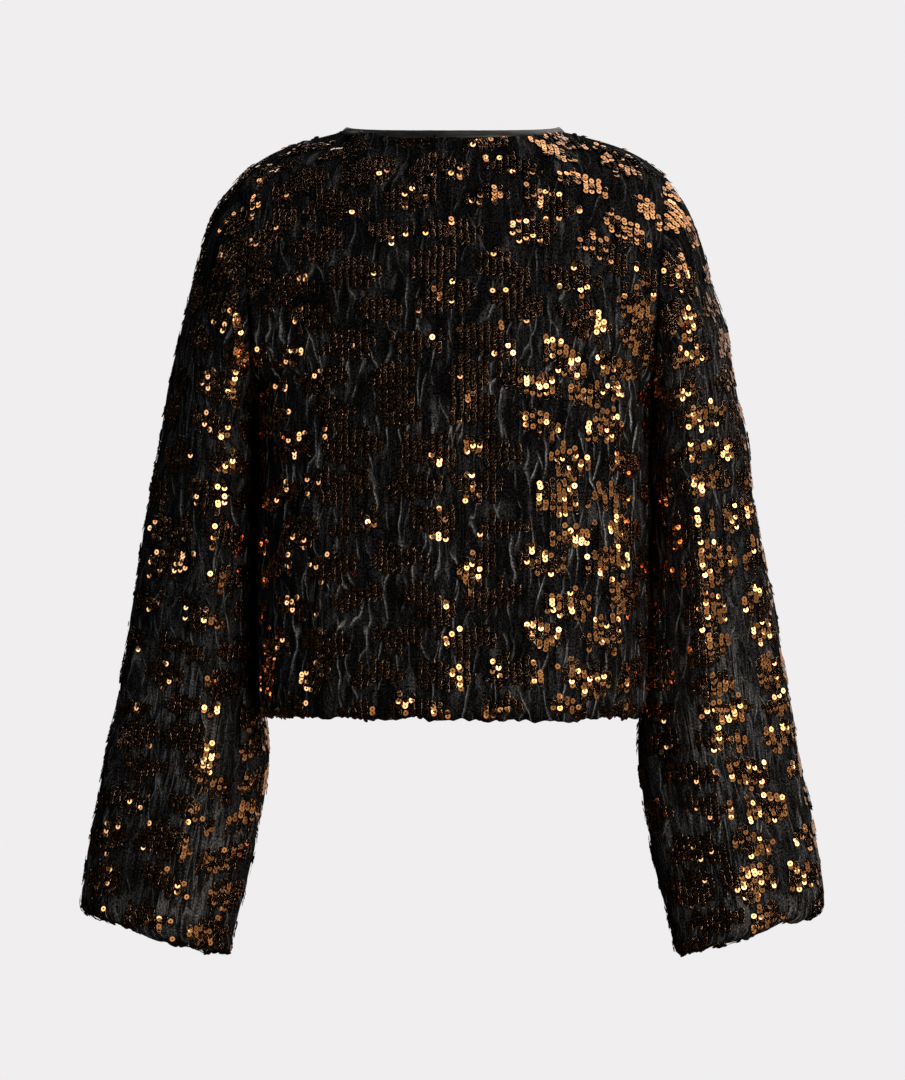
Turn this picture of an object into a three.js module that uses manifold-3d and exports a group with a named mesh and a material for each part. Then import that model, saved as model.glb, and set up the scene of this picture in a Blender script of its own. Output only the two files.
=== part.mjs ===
// A short, boxy bomber jacket in sequinned velvet, as it stands when it is worn: round neck with a narrow
// satin binding, dropped shoulders, wide sleeves, a hem and cuffs that turn in a little, and a front zip.
// Every piece of cloth is a wall of even thickness with a narrow gap at each seam.
// Millimetres, +Z up, the wearer faces -Y and +X is the wearer's left. The origin lies midway between the
// two points where the neckline meets the shoulder seams.
import * as THREE from "three";
import { mergeVertices } from "three/addons/utils/BufferGeometryUtils.js";
import Module from "manifold-3d";

const wasm = await Module();
wasm.setup();

// Cloth
const WALL = 2;
const SEAM_GAP = 0.3;

// Neck opening
const NECK_HALF_WIDTH = 93;
const BACK_NECK = { depth: 60, drop: 7 };
const FRONT_NECK = { depth: 82, drop: 80 };
const BINDING = { gap: 0.5, height: 4.6, proud: 0.7, shoulder: 1.2 };

// Shoulder seam, from the neck point down to the top of the armhole: a straight slope for that share of its
// fall, and then a bend over the shoulder
const SHOULDER_TIP = { x: 182.5, z: -40 };
const SHOULDER_SLOPE = 0.55;
const SHOULDER_BEND = 4;

// Grid of the cloth: spaces across half the body, and the share of them that the neckline takes
const HALF_COLUMNS = 14;
const NECK_COLUMNS = 8;
const STEPS_PER_SECTION = 2;
const STEPS_PER_RING = 2;
const SQUARENESS = 2.5;

// Sections of the body from the hem up. The seam runs up the side and then round the armhole, whose two
// halves stand seamDepth behind and in front of the middle. The back and front columns are the centre lines.
const BODY_SECTIONS = [
  // at, seamX, seamZ, seamDepth, backZ, backDepth, frontZ, frontDepth
  ["hem edge", 156.5, -497.5, 0, -498.5, 104, -498.5, 108],
  ["hem roll", 162, -490.5, 0, -492, 109, -490.5, 112],
  ["blouse", 165.3, -476, 0, -478, 113, -474, 115],
  ["waist", 166, -430, 0, -430, 113, -430, 117],
  ["midriff", 166.5, -350, 0, -350, 115, -350, 121],
  ["chest", 166.5, -278, 0, -280, 118, -284, 124],
  ["armpit", 167, -233, 0, -230, 119, -242, 124],
  ["low armhole", 168.5, -213, 46, -198, 118, -214, 122],
  ["armhole", 170.5, -180, 70, -166, 116, -187, 119],
  ["mid armhole", 173, -138, 79, -132, 111, -160, 114],
  ["blade", 176, -98, 71, -98, 102, -134, 107],
  ["upper armhole", 179, -65, 48, -64, 89, -111, 98],
  ["below shoulder", 181, -47, 23, -34, 73, -94, 90],
].map(([at, seamX, seamZ, seamDepth, backZ, backDepth, frontZ, frontDepth]) => ({
  at,
  seamX,
  seamZ,
  seamDepth,
  backZ,
  backDepth,
  frontZ,
  frontDepth,
}));
const ARMPIT = BODY_SECTIONS.findIndex((section) => section.at === "armpit");

// Rings of a sleeve below the armhole, from the shoulder to the cuff. Each ring runs from its outer point to
// its inner point, is centred middleY in front of or behind the middle, and is depth half as deep.
const SLEEVE_RINGS = [
  // outerX, outerZ, innerX, innerZ, middleY, depth, share of the armhole's own shape
  [197.5, -60, 169.3, -241, -1, 81, 0.5],
  [208, -84, 169.4, -256, -3, 80, 0.15],
  [217.5, -112, 168.9, -276, -8, 78, 0],
  [228.5, -152, 167.8, -303, -14, 76, 0],
  [239.5, -207, 167, -338, -20, 74, 0],
  [251.5, -277, 166.3, -383, -26, 71, 0],
  [265, -357, 164.6, -435, -33, 67, 0],
  [277.5, -428, 162.2, -482, -43, 63, 0],
  [291, -501, 158, -530, -50, 59, 0],
  [302.5, -567, 167.5, -594, -53, 57, 0],
  [313, -622, 180, -652, -57, 57, 0],
  [318, -651, 188.5, -688, -60, 57, 0],
  [317.5, -664, 192, -701, -61, 55, 0],
  [311.5, -668, 197.5, -703, -61, 50, 0],
].map(([outerX, outerZ, innerX, innerZ, middleY, depth, share]) => ({
  outerX,
  outerZ,
  innerX,
  innerZ,
  middleY,
  depth,
  share,
}));

// Soft folds of the body, seen from behind or in front: a ridge, or a trough where rise is below zero, from
// its top to its foot, half as wide as width.
const BACK_FOLDS = [
  { topX: 88, topZ: -240, footX: 150, footZ: -385, width: 13, rise: 4.5 },
  { topX: 98, topZ: -330, footX: 112, footZ: -484, width: 12, rise: 3.5 },
  { topX: 128, topZ: -250, footX: 132, footZ: -460, width: 10, rise: -3 },
  { topX: 52, topZ: -200, footX: 60, footZ: -440, width: 15, rise: -3 },
  { topX: 20, topZ: -260, footX: 8, footZ: -488, width: 14, rise: 2.5 },
  { topX: -22, topZ: -190, footX: -30, footZ: -420, width: 13, rise: -2.5 },
  { topX: -62, topZ: -220, footX: -70, footZ: -486, width: 14, rise: 3.5 },
  { topX: -104, topZ: -180, footX: -98, footZ: -400, width: 12, rise: -3 },
  { topX: -148, topZ: -330, footX: -128, footZ: -488, width: 12, rise: 4.5 },
  { topX: 128, topZ: -70, footX: 150, footZ: -220, width: 11, rise: -2.5 },
  { topX: -128, topZ: -70, footX: -150, footZ: -220, width: 11, rise: -2.5 },
];
const FRONT_FOLDS = [
  { topX: 132, topZ: -80, footX: 148, footZ: -230, width: 11, rise: -2.5 },
  { topX: 84, topZ: -240, footX: 92, footZ: -486, width: 14, rise: 3.5 },
  { topX: 120, topZ: -260, footX: 122, footZ: -450, width: 12, rise: -3 },
  { topX: 48, topZ: -200, footX: 44, footZ: -440, width: 13, rise: -2.5 },
  { topX: 146, topZ: -330, footX: 138, footZ: -488, width: 11, rise: 3.5 },
];
// Long folds of a sleeve. around is the angle from the outer line, towards the back, and top and foot are
// shares of the way down from the armhole.
const SLEEVE_FOLDS = [
  { around: 28, top: 0.2, foot: 0.95, width: 13, rise: 3 },
  { around: 62, top: 0.3, foot: 1.0, width: 14, rise: -3.5 },
  { around: 96, top: 0.25, foot: 0.98, width: 13, rise: 3.5 },
  { around: 134, top: 0.35, foot: 1.0, width: 14, rise: -3 },
  { around: -36, top: 0.3, foot: 0.95, width: 13, rise: -3 },
  { around: -78, top: 0.25, foot: 1.0, width: 14, rise: 3.5 },
  { around: -122, top: 0.3, foot: 0.95, width: 13, rise: -3 },
];

// Front zip. Foot distances are from the hem's edge, top distances are from the neck's edge, and front and
// back are measured from the cloth's outer face.
const FRONT_EDGE = 5.5;
const TAPE = { inner: 3.3, outer: 14, thick: 0.8, gap: 0.6, foot: 3.5, top: 15 };
const CHAIN = { halfWidth: 3, front: -0.6, back: -3.4 };
const BOX = { halfWidth: 3, long: 9, front: 0.2, back: -3.9, foot: 4 };
const STOP = { inner: 0.5, outer: 3, long: 4, front: -0.1, back: -3.6, gap: 0.5 };
const SLIDER_TOP = 20;
const SPACES_PER_MM = 0.09;
const SLIDER = { halfWidth: 4.8, long: 13, plate: 1.4, backPlate: 1, lift: 0.3 };
const POST = { halfWidth: 2.2, long: 3.4 };
const CROWN = { halfWidth: 1.2, halfLong: 4, leg: 1.2, window: 2.4, cap: 1.1 };
const PULL = { halfWidth: 3.4, long: 25, thick: 1.2, bar: 1.2, tip: 2.4 };
const SLOT = { halfWidth: 1.65, long: 5.6 };

const point = (x, y, z) => new THREE.Vector3(x, y, z);
const clamp01 = (value) => Math.min(1, Math.max(0, value));
const smooth = (value) => clamp01(value) ** 2 * (3 - 2 * clamp01(value));

// Points at even spacing along a curve that is given as a function of 0 to 1
function evenlyAlong(curve, spaces) {
  const fine = Array.from({ length: 161 }, (_, i) => curve(i / 160));
  const run = [0];
  for (let i = 1; i < fine.length; i++) run.push(run[i - 1] + fine[i].distanceTo(fine[i - 1]));
  const total = run[run.length - 1];
  let k = 1;
  return Array.from({ length: spaces + 1 }, (_, j) => {
    const wanted = (total * j) / spaces;
    while (k < fine.length - 1 && run[k] < wanted) k++;
    return fine[k - 1].clone().lerp(fine[k], clamp01((wanted - run[k - 1]) / (run[k] - run[k - 1])));
  });
}

// One section of the body from its centre line to the seam, on the back (side 1) or front (side -1)
function sectionPoints(section, side) {
  const depth = side > 0 ? section.backDepth : section.frontDepth;
  const middleZ = side > 0 ? section.backZ : section.frontZ;
  const fullWidth = section.seamX / (1 - (section.seamDepth / depth) ** SQUARENESS) ** (1 / SQUARENESS);
  const seamAngle = Math.atan2(section.seamDepth / depth, section.seamX / fullWidth);
  const outline = (share) => {
    const angle = Math.PI / 2 + (seamAngle - Math.PI / 2) * share;
    const c = Math.cos(angle);
    const s = Math.sin(angle);
    const reach = (Math.abs(c) ** SQUARENESS + Math.abs(s) ** SQUARENESS) ** (-1 / SQUARENESS);
    return point(fullWidth * c * reach, side * depth * s * reach, 0);
  };
  return evenlyAlong(outline, HALF_COLUMNS).map((p, j) => {
    const share = j / HALF_COLUMNS;
    p.z = middleZ + (section.seamZ - middleZ) * share * share;
    return p;
  });
}

// The upper edge of a body panel: the neckline, and then the shoulder seam that back and front share
function upperEdge(side) {
  const neck = side > 0 ? BACK_NECK : FRONT_NECK;
  const neckline = (share) => {
    const angle = (share * Math.PI) / 2;
    const fall = Math.cos(angle);
    return point(NECK_HALF_WIDTH * Math.sin(angle), side * neck.depth * fall, -neck.drop * fall);
  };
  const shoulder = (share) =>
    point(
      NECK_HALF_WIDTH + (SHOULDER_TIP.x - NECK_HALF_WIDTH) * share,
      0,
      SHOULDER_TIP.z * (SHOULDER_SLOPE * share + (1 - SHOULDER_SLOPE) * share ** SHOULDER_BEND),
    );
  return [
    ...evenlyAlong(neckline, NECK_COLUMNS).slice(0, -1),
    ...evenlyAlong(shoulder, HALF_COLUMNS - NECK_COLUMNS),
  ];
}

// A smooth line through control points, sampled the same number of times in each space
function throughPoints(controls, steps) {
  const curve = new THREE.CatmullRomCurve3(controls, false, "centripetal");
  const spaces = (controls.length - 1) * steps;
  return Array.from({ length: spaces + 1 }, (_, i) => curve.getPoint(i / spaces));
}

// Half a body panel for x above zero, as rows from hem to top and columns from the centre line to the seam
function halfPanel(side) {
  const sections = [...BODY_SECTIONS.map((section) => sectionPoints(section, side)), upperEdge(side)];
  const columns = sections[0].map((_, j) => {
    const controls = sections.map((row) => row[j]);
    if (j < HALF_COLUMNS) return throughPoints(controls, STEPS_PER_SECTION);
    const below = throughPoints(controls.slice(0, ARMPIT + 1), STEPS_PER_SECTION);
    const above = throughPoints(controls.slice(ARMPIT), STEPS_PER_SECTION);
    return [...below, ...above.slice(1)];
  });
  return columns[0].map((_, i) => columns.map((column) => column[i]));
}

const mirrored = (p) => point(-p.x, p.y, p.z);
const backHalf = halfPanel(1);
const frontHalf = halfPanel(-1);

// The back reaches from seam to seam
const backRows = backHalf.map((row) => [
  ...row.slice(1).reverse().map(mirrored),
  ...row.map((p) => p.clone()),
]);

// Each front starts at its own edge beside the zip
function frontRows() {
  return frontHalf.map((row) => {
    const share = FRONT_EDGE / row[1].x;
    return [row[0].clone().lerp(row[1], share), ...row.slice(1).map((p) => p.clone())];
  });
}

// The closed armhole, from the armpit up the back, over the shoulder and down the front
function armhole() {
  const first = ARMPIT * STEPS_PER_SECTION;
  const back = backHalf.slice(first).map((row) => row[HALF_COLUMNS]);
  const front = frontHalf.slice(first).map((row) => row[HALF_COLUMNS]);
  return [...back, ...front.reverse().slice(1, -1)];
}

// A sleeve on the wearer's left as rows round the arm, from the armhole to the cuff
function sleeveRows() {
  const loop = armhole();
  const top = point(SHOULDER_TIP.x, 0, SHOULDER_TIP.z);
  const foot = loop[0];
  const middle = top.clone().add(foot).multiplyScalar(0.5);
  const reach = top.clone().sub(foot).multiplyScalar(0.5);
  const halfDepth = Math.max(...loop.map((p) => p.y));
  const places = loop.map((p) => {
    const up = p.clone().sub(middle).dot(reach) / reach.lengthSq();
    const out = p.y / halfDepth;
    return { angle: Math.atan2(out, up), swell: Math.hypot(up, out) };
  });
  const rings = [loop.map((p) => p.clone())];
  for (const ring of SLEEVE_RINGS) {
    const outer = point(ring.outerX, ring.middleY, ring.outerZ);
    const inner = point(ring.innerX, ring.middleY, ring.innerZ);
    const centre = outer.clone().add(inner).multiplyScalar(0.5);
    const half = outer.clone().sub(inner).multiplyScalar(0.5);
    rings.push(
      places.map(({ angle, swell }) => {
        const reachHere = 1 + (swell - 1) * ring.share;
        const p = centre.clone().addScaledVector(half, Math.cos(angle) * reachHere);
        p.y += ring.depth * Math.sin(angle) * reachHere;
        return p;
      }),
    );
  }
  const lines = loop.map((_, j) =>
    throughPoints(
      rings.map((ring) => ring[j]),
      STEPS_PER_RING,
    ),
  );
  const rows = lines[0].map((_, i) => lines.map((line) => line[i]));
  return { rows, angles: places.map((place) => place.angle) };
}

// How far a fold lifts the cloth at a place, from its distance to the fold's line and its share along it
function foldLift(fold, across, down) {
  const dx = fold.footX - fold.topX;
  const dz = fold.footZ - fold.topZ;
  const along = ((across - fold.topX) * dx + (down - fold.topZ) * dz) / (dx * dx + dz * dz);
  const gapX = across - (fold.topX + dx * clamp01(along));
  const gapZ = down - (fold.topZ + dz * clamp01(along));
  const fade = smooth(clamp01(along) * 3) * smooth((1 - clamp01(along)) * 4 + 0.25);
  return fold.rise * fade * Math.exp(-(gapX * gapX + gapZ * gapZ) / (fold.width * fold.width));
}

const toSeam = (p) => smooth((166 - Math.abs(p.x)) / 14);
const belowYoke = (p) => smooth((-40 - p.z) / 60);
const besideZip = (p) => smooth((Math.abs(p.x) - 20) / 14);
const liftOf = (folds, x, z) => folds.reduce((sum, fold) => sum + foldLift(fold, x, z), 0);
const backLift = (p) => toSeam(p) * belowYoke(p) * liftOf(BACK_FOLDS, p.x, p.z);
const frontLift = (p) => toSeam(p) * belowYoke(p) * besideZip(p) * liftOf(FRONT_FOLDS, Math.abs(p.x), p.z);

// Sleeve folds fade out where the sleeve lies against the body
function sleeveLift(angle, share) {
  const degrees = THREE.MathUtils.radToDeg(angle);
  const onOpenSide = smooth((165 - Math.abs(degrees)) / 30);
  const lift = SLEEVE_FOLDS.reduce((sum, fold) => {
    const off = (degrees - fold.around) / fold.width;
    const fade = smooth((share - fold.top) * 4) * smooth((fold.foot - share) * 6 + 0.5);
    return sum + fold.rise * fade * Math.exp(-off * off);
  }, 0);
  return lift * onOpenSide;
}

// Every piece of cloth: its outer points in rows, whether it closes round the arm, and which of its edges
// are seams. A mirrored piece keeps its faces outwards by turning its quads round.
const sleeve = sleeveRows();
const liftOfSleeve = (p, i, j) => sleeveLift(sleeve.angles[j], i / (sleeve.rows.length - 1));
const panels = [
  {
    name: "back",
    rows: backRows,
    flip: false,
    lift: backLift,
    seams: { left: true, right: true, top: true },
  },
  {
    name: "front_left",
    rows: frontRows(),
    flip: true,
    lift: frontLift,
    seams: { right: true, top: true },
  },
  {
    name: "front_right",
    rows: frontRows().map((row) => row.map(mirrored)),
    flip: false,
    lift: frontLift,
    seams: { right: true, top: true },
  },
  {
    name: "sleeve_left",
    rows: sleeve.rows,
    round: true,
    flip: true,
    lift: liftOfSleeve,
    seams: { bottom: true },
  },
  {
    name: "sleeve_right",
    rows: sleeve.rows.map((row) => row.map(mirrored)),
    round: true,
    flip: false,
    lift: liftOfSleeve,
    seams: { bottom: true },
  },
];

// The panel's quads as corners [row, column], wound so that they face outwards
function quadsOf(panel) {
  const height = panel.rows.length;
  const width = panel.rows[0].length;
  const quads = [];
  for (let i = 0; i < height - 1; i++)
    for (let j = 0; j < (panel.round ? width : width - 1); j++) {
      const next = (j + 1) % width;
      const quad = [[i, j], [i, next], [i + 1, next], [i + 1, j]];
      quads.push(panel.flip ? quad : quad.reverse());
    }
  return quads;
}

// Normals of the whole outer surface. Points that two pieces share on a seam get one normal, so that the
// walls on both sides of it are cut on the same slant.
const placeKey = (p) => [p.x, p.y, p.z].map((value) => Math.round(value * 50)).join(" ");
function outerNormals() {
  const sums = new Map();
  for (const panel of panels)
    for (const quad of quadsOf(panel)) {
      const [a, b, c, d] = quad.map(([i, j]) => panel.rows[i][j]);
      const facing = c.clone().sub(a).cross(d.clone().sub(b));
      for (const p of [a, b, c, d]) {
        const key = placeKey(p);
        if (!sums.has(key)) sums.set(key, point(0, 0, 0));
        sums.get(key).add(facing);
      }
    }
  return (p) => sums.get(placeKey(p)).clone().normalize();
}

// Folds move the cloth along its normal
const flatNormal = outerNormals();
for (const panel of panels)
  panel.rows = panel.rows.map((row, i) =>
    row.map((p, j) => p.clone().addScaledVector(flatNormal(p), panel.lift(p, i, j))),
  );
const normalAt = outerNormals();

// The outer and inner points of a panel, drawn back from its seams by half the gap
function wallOf(panel) {
  const height = panel.rows.length;
  const width = panel.rows[0].length;
  const outer = panel.rows.map((row) => row.map((p) => p.clone()));
  const inner = panel.rows.map((row) => row.map((p) => p.clone().addScaledVector(normalAt(p), -WALL)));
  const drawBack = (i, j, toI, toJ) => {
    for (const skin of [outer, inner]) {
      const source = panel.rows;
      const way = source[toI][toJ].clone().sub(source[i][j]).normalize();
      skin[i][j].addScaledVector(way, SEAM_GAP / 2);
    }
  };
  for (let i = 0; i < height; i++) {
    if (panel.seams.left) drawBack(i, 0, i, 1);
    if (panel.seams.right) drawBack(i, width - 1, i, width - 2);
  }
  for (let j = 0; j < width; j++) {
    if (panel.seams.top) drawBack(height - 1, j, height - 2, j);
    if (panel.seams.bottom) drawBack(0, j, 1, j);
  }
  return { outer, inner };
}

// A closed solid from a list of corner points in triangles
function geometryFrom(triangles) {
  const geometry = new THREE.BufferGeometry();
  const values = triangles.flatMap((p) => [p.x, p.y, p.z]);
  geometry.setAttribute("position", new THREE.Float32BufferAttribute(values, 3));
  return mergeVertices(geometry, 1e-4);
}

function panelGeometry(panel) {
  const { outer, inner } = wallOf(panel);
  const height = panel.rows.length;
  const width = panel.rows[0].length;
  const triangles = [];
  const addQuad = (a, b, c, d) => triangles.push(a, b, c, a, c, d);
  for (const quad of quadsOf(panel)) {
    addQuad(...quad.map(([i, j]) => outer[i][j]));
    addQuad(...quad.map(([i, j]) => inner[i][j]).reverse());
  }
  // The cut edges, as one run of points round the panel, or one at each end of a tube
  const edge = (run) => {
    for (let k = 0; k < run.length - 1; k++) {
      const [i, j] = run[k];
      const [m, n] = run[k + 1];
      const corners = [outer[i][j], inner[i][j], inner[m][n], outer[m][n]];
      addQuad(...(panel.flip ? corners.reverse() : corners));
    }
  };
  const columns = Array.from({ length: width }, (_, j) => j);
  const rowNumbers = Array.from({ length: height }, (_, i) => i);
  if (panel.round) {
    edge([...columns, 0].reverse().map((j) => [0, j]));
    edge([...columns, 0].map((j) => [height - 1, j]));
  } else {
    edge(rowNumbers.map((i) => [i, 0]));
    edge(columns.map((j) => [height - 1, j]));
    edge(rowNumbers.map((i) => [height - 1 - i, width - 1]));
    edge(columns.map((j) => [0, width - 1 - j]));
  }
  return geometryFrom(triangles);
}

// A strip swept along a line of frames, each with a place and two directions; the section is in those two
function sweptStrip(frames, section) {
  const rings = frames.map(({ place, across, out }) =>
    section.map(([a, b]) => place.clone().addScaledVector(across, a).addScaledVector(out, b)),
  );
  const triangles = [];
  const count = section.length;
  for (let k = 0; k < rings.length - 1; k++)
    for (let m = 0; m < count; m++) {
      const n = (m + 1) % count;
      triangles.push(rings[k][m], rings[k][n], rings[k + 1][n]);
      triangles.push(rings[k][m], rings[k + 1][n], rings[k + 1][m]);
    }
  const last = rings[rings.length - 1];
  for (let m = 1; m < count - 1; m++) {
    triangles.push(rings[0][0], rings[0][m + 1], rings[0][m]);
    triangles.push(last[0], last[m], last[m + 1]);
  }
  return solidFacingOut(geometryFrom(triangles));
}

function toManifold(geometry) {
  const bare = geometry.clone();
  bare.deleteAttribute("normal");
  bare.deleteAttribute("uv");
  const merged = mergeVertices(bare, 1e-4);
  return new wasm.Manifold(
    new wasm.Mesh({
      numProp: 3,
      vertProperties: merged.attributes.position.array,
      triVerts: new Uint32Array(merged.index.array),
    }),
  );
}

function fromManifold(solid) {
  const mesh = solid.getMesh();
  const geometry = new THREE.BufferGeometry();
  geometry.setAttribute("position", new THREE.BufferAttribute(new Float32Array(mesh.vertProperties), 3));
  geometry.setIndex(new THREE.BufferAttribute(new Uint32Array(mesh.triVerts), 1));
  return geometry;
}

// Turns every triangle round if the solid came out inside out
function solidFacingOut(geometry) {
  if (toManifold(geometry).volume() > 0) return geometry;
  const index = geometry.index.array;
  for (let i = 0; i < index.length; i += 3) [index[i + 1], index[i + 2]] = [index[i + 2], index[i + 1]];
  return geometry;
}

// The satin binding follows the neckline from one front edge round the back to the other
function bindingGeometry() {
  const [back, frontLeft, frontRight] = panels;
  const topOf = (panel) => panel.rows[panel.rows.length - 1];
  const middle = HALF_COLUMNS;
  const neckline = [
    ...topOf(frontRight).slice(0, NECK_COLUMNS),
    ...topOf(back).slice(middle - NECK_COLUMNS, middle + NECK_COLUMNS + 1),
    ...topOf(frontLeft).slice(0, NECK_COLUMNS).reverse(),
  ];
  const frames = neckline.map((place, k) => {
    const before = neckline[Math.max(0, k - 1)];
    const after = neckline[Math.min(neckline.length - 1, k + 1)];
    const along = after.clone().sub(before).normalize();
    const out = normalAt(place);
    const across = out.clone().cross(along).normalize();
    const inwards = point(-place.x, -place.y, 40);
    if (across.dot(inwards) < 0) across.negate();
    return { place, across, out };
  });
  const { gap, height, proud, shoulder } = BINDING;
  const section = [
    [gap, -WALL - proud],
    [gap, proud],
    [height - shoulder, proud],
    [height - shoulder * 0.3, proud - shoulder * 0.5],
    [height, -WALL / 2],
    [height - shoulder * 0.3, -WALL - proud + shoulder * 0.5],
    [height - shoulder, -WALL - proud],
  ];
  return sweptStrip(frames, section);
}

// Frames up the centre front between two lengths from the hem's edge, for what lies between the front edges
const centreLine = new THREE.CatmullRomCurve3(
  frontHalf.map((row) => point(0, row[0].y, row[0].z)),
  false,
  "centripetal",
);
const frontLength = centreLine.getLength();
function centreFront(from, to) {
  const spaces = Math.max(2, Math.round((to - from) * SPACES_PER_MM));
  return Array.from({ length: spaces + 1 }, (_, k) => {
    const share = (from + ((to - from) * k) / spaces) / frontLength;
    const up = centreLine.getTangentAt(share);
    return { place: centreLine.getPointAt(share), across: point(1, 0, 0), out: point(0, -up.z, up.y), up };
  });
}

// A block in the slider's own frame: x across, y out from the cloth is -Y, z up
function block(width, depth, height, y, z) {
  return toManifold(new THREE.BoxGeometry(width, depth, height).translate(0, y, z));
}

// The slider: a front and a back plate joined by a post above the teeth, and an arch for the pull tab.
// Its frame's origin is on the cloth's outer face, at the axis of the pull tab.
const CHAIN_FACE = -CHAIN.front;
const PLATE_FACE = CHAIN_FACE - SLIDER.lift - SLIDER.plate;
const PULL_AXIS = PLATE_FACE - CROWN.window / 2;
function sliderGeometry() {
  const backFace = -CHAIN.back + SLIDER.lift;
  const plates = [
    block(SLIDER.halfWidth * 2, SLIDER.plate, SLIDER.long, PLATE_FACE + SLIDER.plate / 2, 0),
    block(SLIDER.halfWidth * 2, SLIDER.backPlate, SLIDER.long, backFace + SLIDER.backPlate / 2, 0),
  ];
  const postDepth = backFace - PLATE_FACE;
  const postZ = (SLIDER.long - POST.long) / 2;
  const post = block(POST.halfWidth * 2, postDepth, POST.long, PLATE_FACE + postDepth / 2, postZ);
  const archDepth = CROWN.window + CROWN.cap;
  const root = SLIDER.plate / 4;
  const archMiddle = PLATE_FACE + root / 2 - archDepth / 2;
  const arch = block(CROWN.halfWidth * 2, archDepth + root, CROWN.halfLong * 2, archMiddle, 0);
  const windowLong = (CROWN.halfLong - CROWN.leg) * 2;
  const window = block(CROWN.halfWidth * 4, CROWN.window, windowLong, PLATE_FACE - CROWN.window / 2, 0);
  const body = plates.reduce((sum, piece) => sum.add(piece), post).add(arch.subtract(window));
  return fromManifold(body);
}

// The pull tab hangs from its own top bar, which passes under the arch
function pullGeometry() {
  const { halfWidth, long, bar, tip } = PULL;
  const outline = new THREE.Shape();
  outline.moveTo(-halfWidth, bar / 2);
  outline.lineTo(-halfWidth, -long + tip);
  outline.lineTo(-halfWidth + tip * 0.3, -long + tip * 0.3);
  outline.lineTo(-halfWidth + tip, -long);
  outline.lineTo(halfWidth - tip, -long);
  outline.lineTo(halfWidth - tip * 0.3, -long + tip * 0.3);
  outline.lineTo(halfWidth, -long + tip);
  outline.lineTo(halfWidth, bar / 2);
  outline.closePath();
  const slot = new THREE.Path();
  slot.moveTo(-SLOT.halfWidth, -bar / 2);
  slot.lineTo(SLOT.halfWidth, -bar / 2);
  slot.lineTo(SLOT.halfWidth, -bar / 2 - SLOT.long);
  slot.lineTo(-SLOT.halfWidth, -bar / 2 - SLOT.long);
  slot.closePath();
  outline.holes.push(slot);
  const plate = new THREE.ExtrudeGeometry(outline, { depth: PULL.thick, bevelEnabled: false });
  return plate.translate(0, 0, -PULL.thick / 2).rotateX(Math.PI / 2);
}

// Colours and finishes
const velvet = new THREE.MeshStandardMaterial({ color: 0x0b0a0b, roughness: 0.95, metalness: 0 });
const satin = new THREE.MeshStandardMaterial({ color: 0x2b2c2e, roughness: 0.45, metalness: 0 });
const tapeCloth = new THREE.MeshStandardMaterial({ color: 0x0c0c0d, roughness: 0.85, metalness: 0 });
const zipMetal = new THREE.MeshStandardMaterial({ color: 0x2a2522, roughness: 0.35, metalness: 0.9 });

function named(name, geometry, material) {
  const mesh = new THREE.Mesh(geometry, material);
  mesh.name = name;
  return mesh;
}

const jacket = new THREE.Group();
for (const panel of panels) jacket.add(named(panel.name, panelGeometry(panel), velvet));
jacket.add(named("neck_binding", bindingGeometry(), satin));

// A straight strip of the zip between two lengths up the centre front
const zipStrip = (from, to, left, right, back, front) =>
  sweptStrip(centreFront(from, to), [
    [left, back],
    [right, back],
    [right, front],
    [left, front],
  ]);

// The tapes lie inside the fronts
const tapeFront = -WALL - TAPE.gap;
const tapeBack = tapeFront - TAPE.thick;
const tapeTop = frontLength - TAPE.top;
jacket.add(
  named(
    "zip_tape_left",
    zipStrip(TAPE.foot, tapeTop, TAPE.inner, TAPE.outer, tapeBack, tapeFront),
    tapeCloth,
  ),
  named(
    "zip_tape_right",
    zipStrip(TAPE.foot, tapeTop, -TAPE.outer, -TAPE.inner, tapeBack, tapeFront),
    tapeCloth,
  ),
);

// The closed teeth run between the tapes, from the box at the foot up into the slider
const boxTop = BOX.foot + BOX.long;
const sliderTop = frontLength - SLIDER_TOP;
const postFoot = sliderTop - POST.long;
const stopFoot = sliderTop + STOP.gap;
const stopTop = stopFoot + STOP.long;
const chain = zipStrip(
  boxTop + SEAM_GAP,
  postFoot - SEAM_GAP,
  -CHAIN.halfWidth,
  CHAIN.halfWidth,
  CHAIN.back,
  CHAIN.front,
);
const box = zipStrip(BOX.foot, boxTop, -BOX.halfWidth, BOX.halfWidth, BOX.back, BOX.front);
const stop = (left, right) => zipStrip(stopFoot, stopTop, left, right, STOP.back, STOP.front);
jacket.add(
  named("zip_teeth", chain, zipMetal),
  named("zip_box", box, zipMetal),
  named("zip_stop_left", stop(STOP.inner, STOP.outer), zipMetal),
  named("zip_stop_right", stop(-STOP.outer, -STOP.inner), zipMetal),
);

const [sliderFrame] = centreFront(sliderTop - SLIDER.long / 2, sliderTop);
const sliderGroup = new THREE.Group();
sliderGroup.position.copy(sliderFrame.place);
sliderGroup.rotation.x = Math.atan2(sliderFrame.up.z, sliderFrame.up.y) - Math.PI / 2;
sliderGroup.add(named("zip_slider", sliderGeometry(), zipMetal));
const pullTab = named("zip_pull", pullGeometry(), zipMetal);
pullTab.position.y = PULL_AXIS;
sliderGroup.add(pullTab);
jacket.add(sliderGroup);

export default jacket;
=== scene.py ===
# %% [markdown]
# # A sequinned velvet bomber jacket
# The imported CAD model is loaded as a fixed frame. Everything below is in its axes, with +Z up and the
# wearer facing -Y. Sizes are written in millimetres, as a pattern cutter writes them, and turned into
# metres at the moment a mesh is made.

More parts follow.
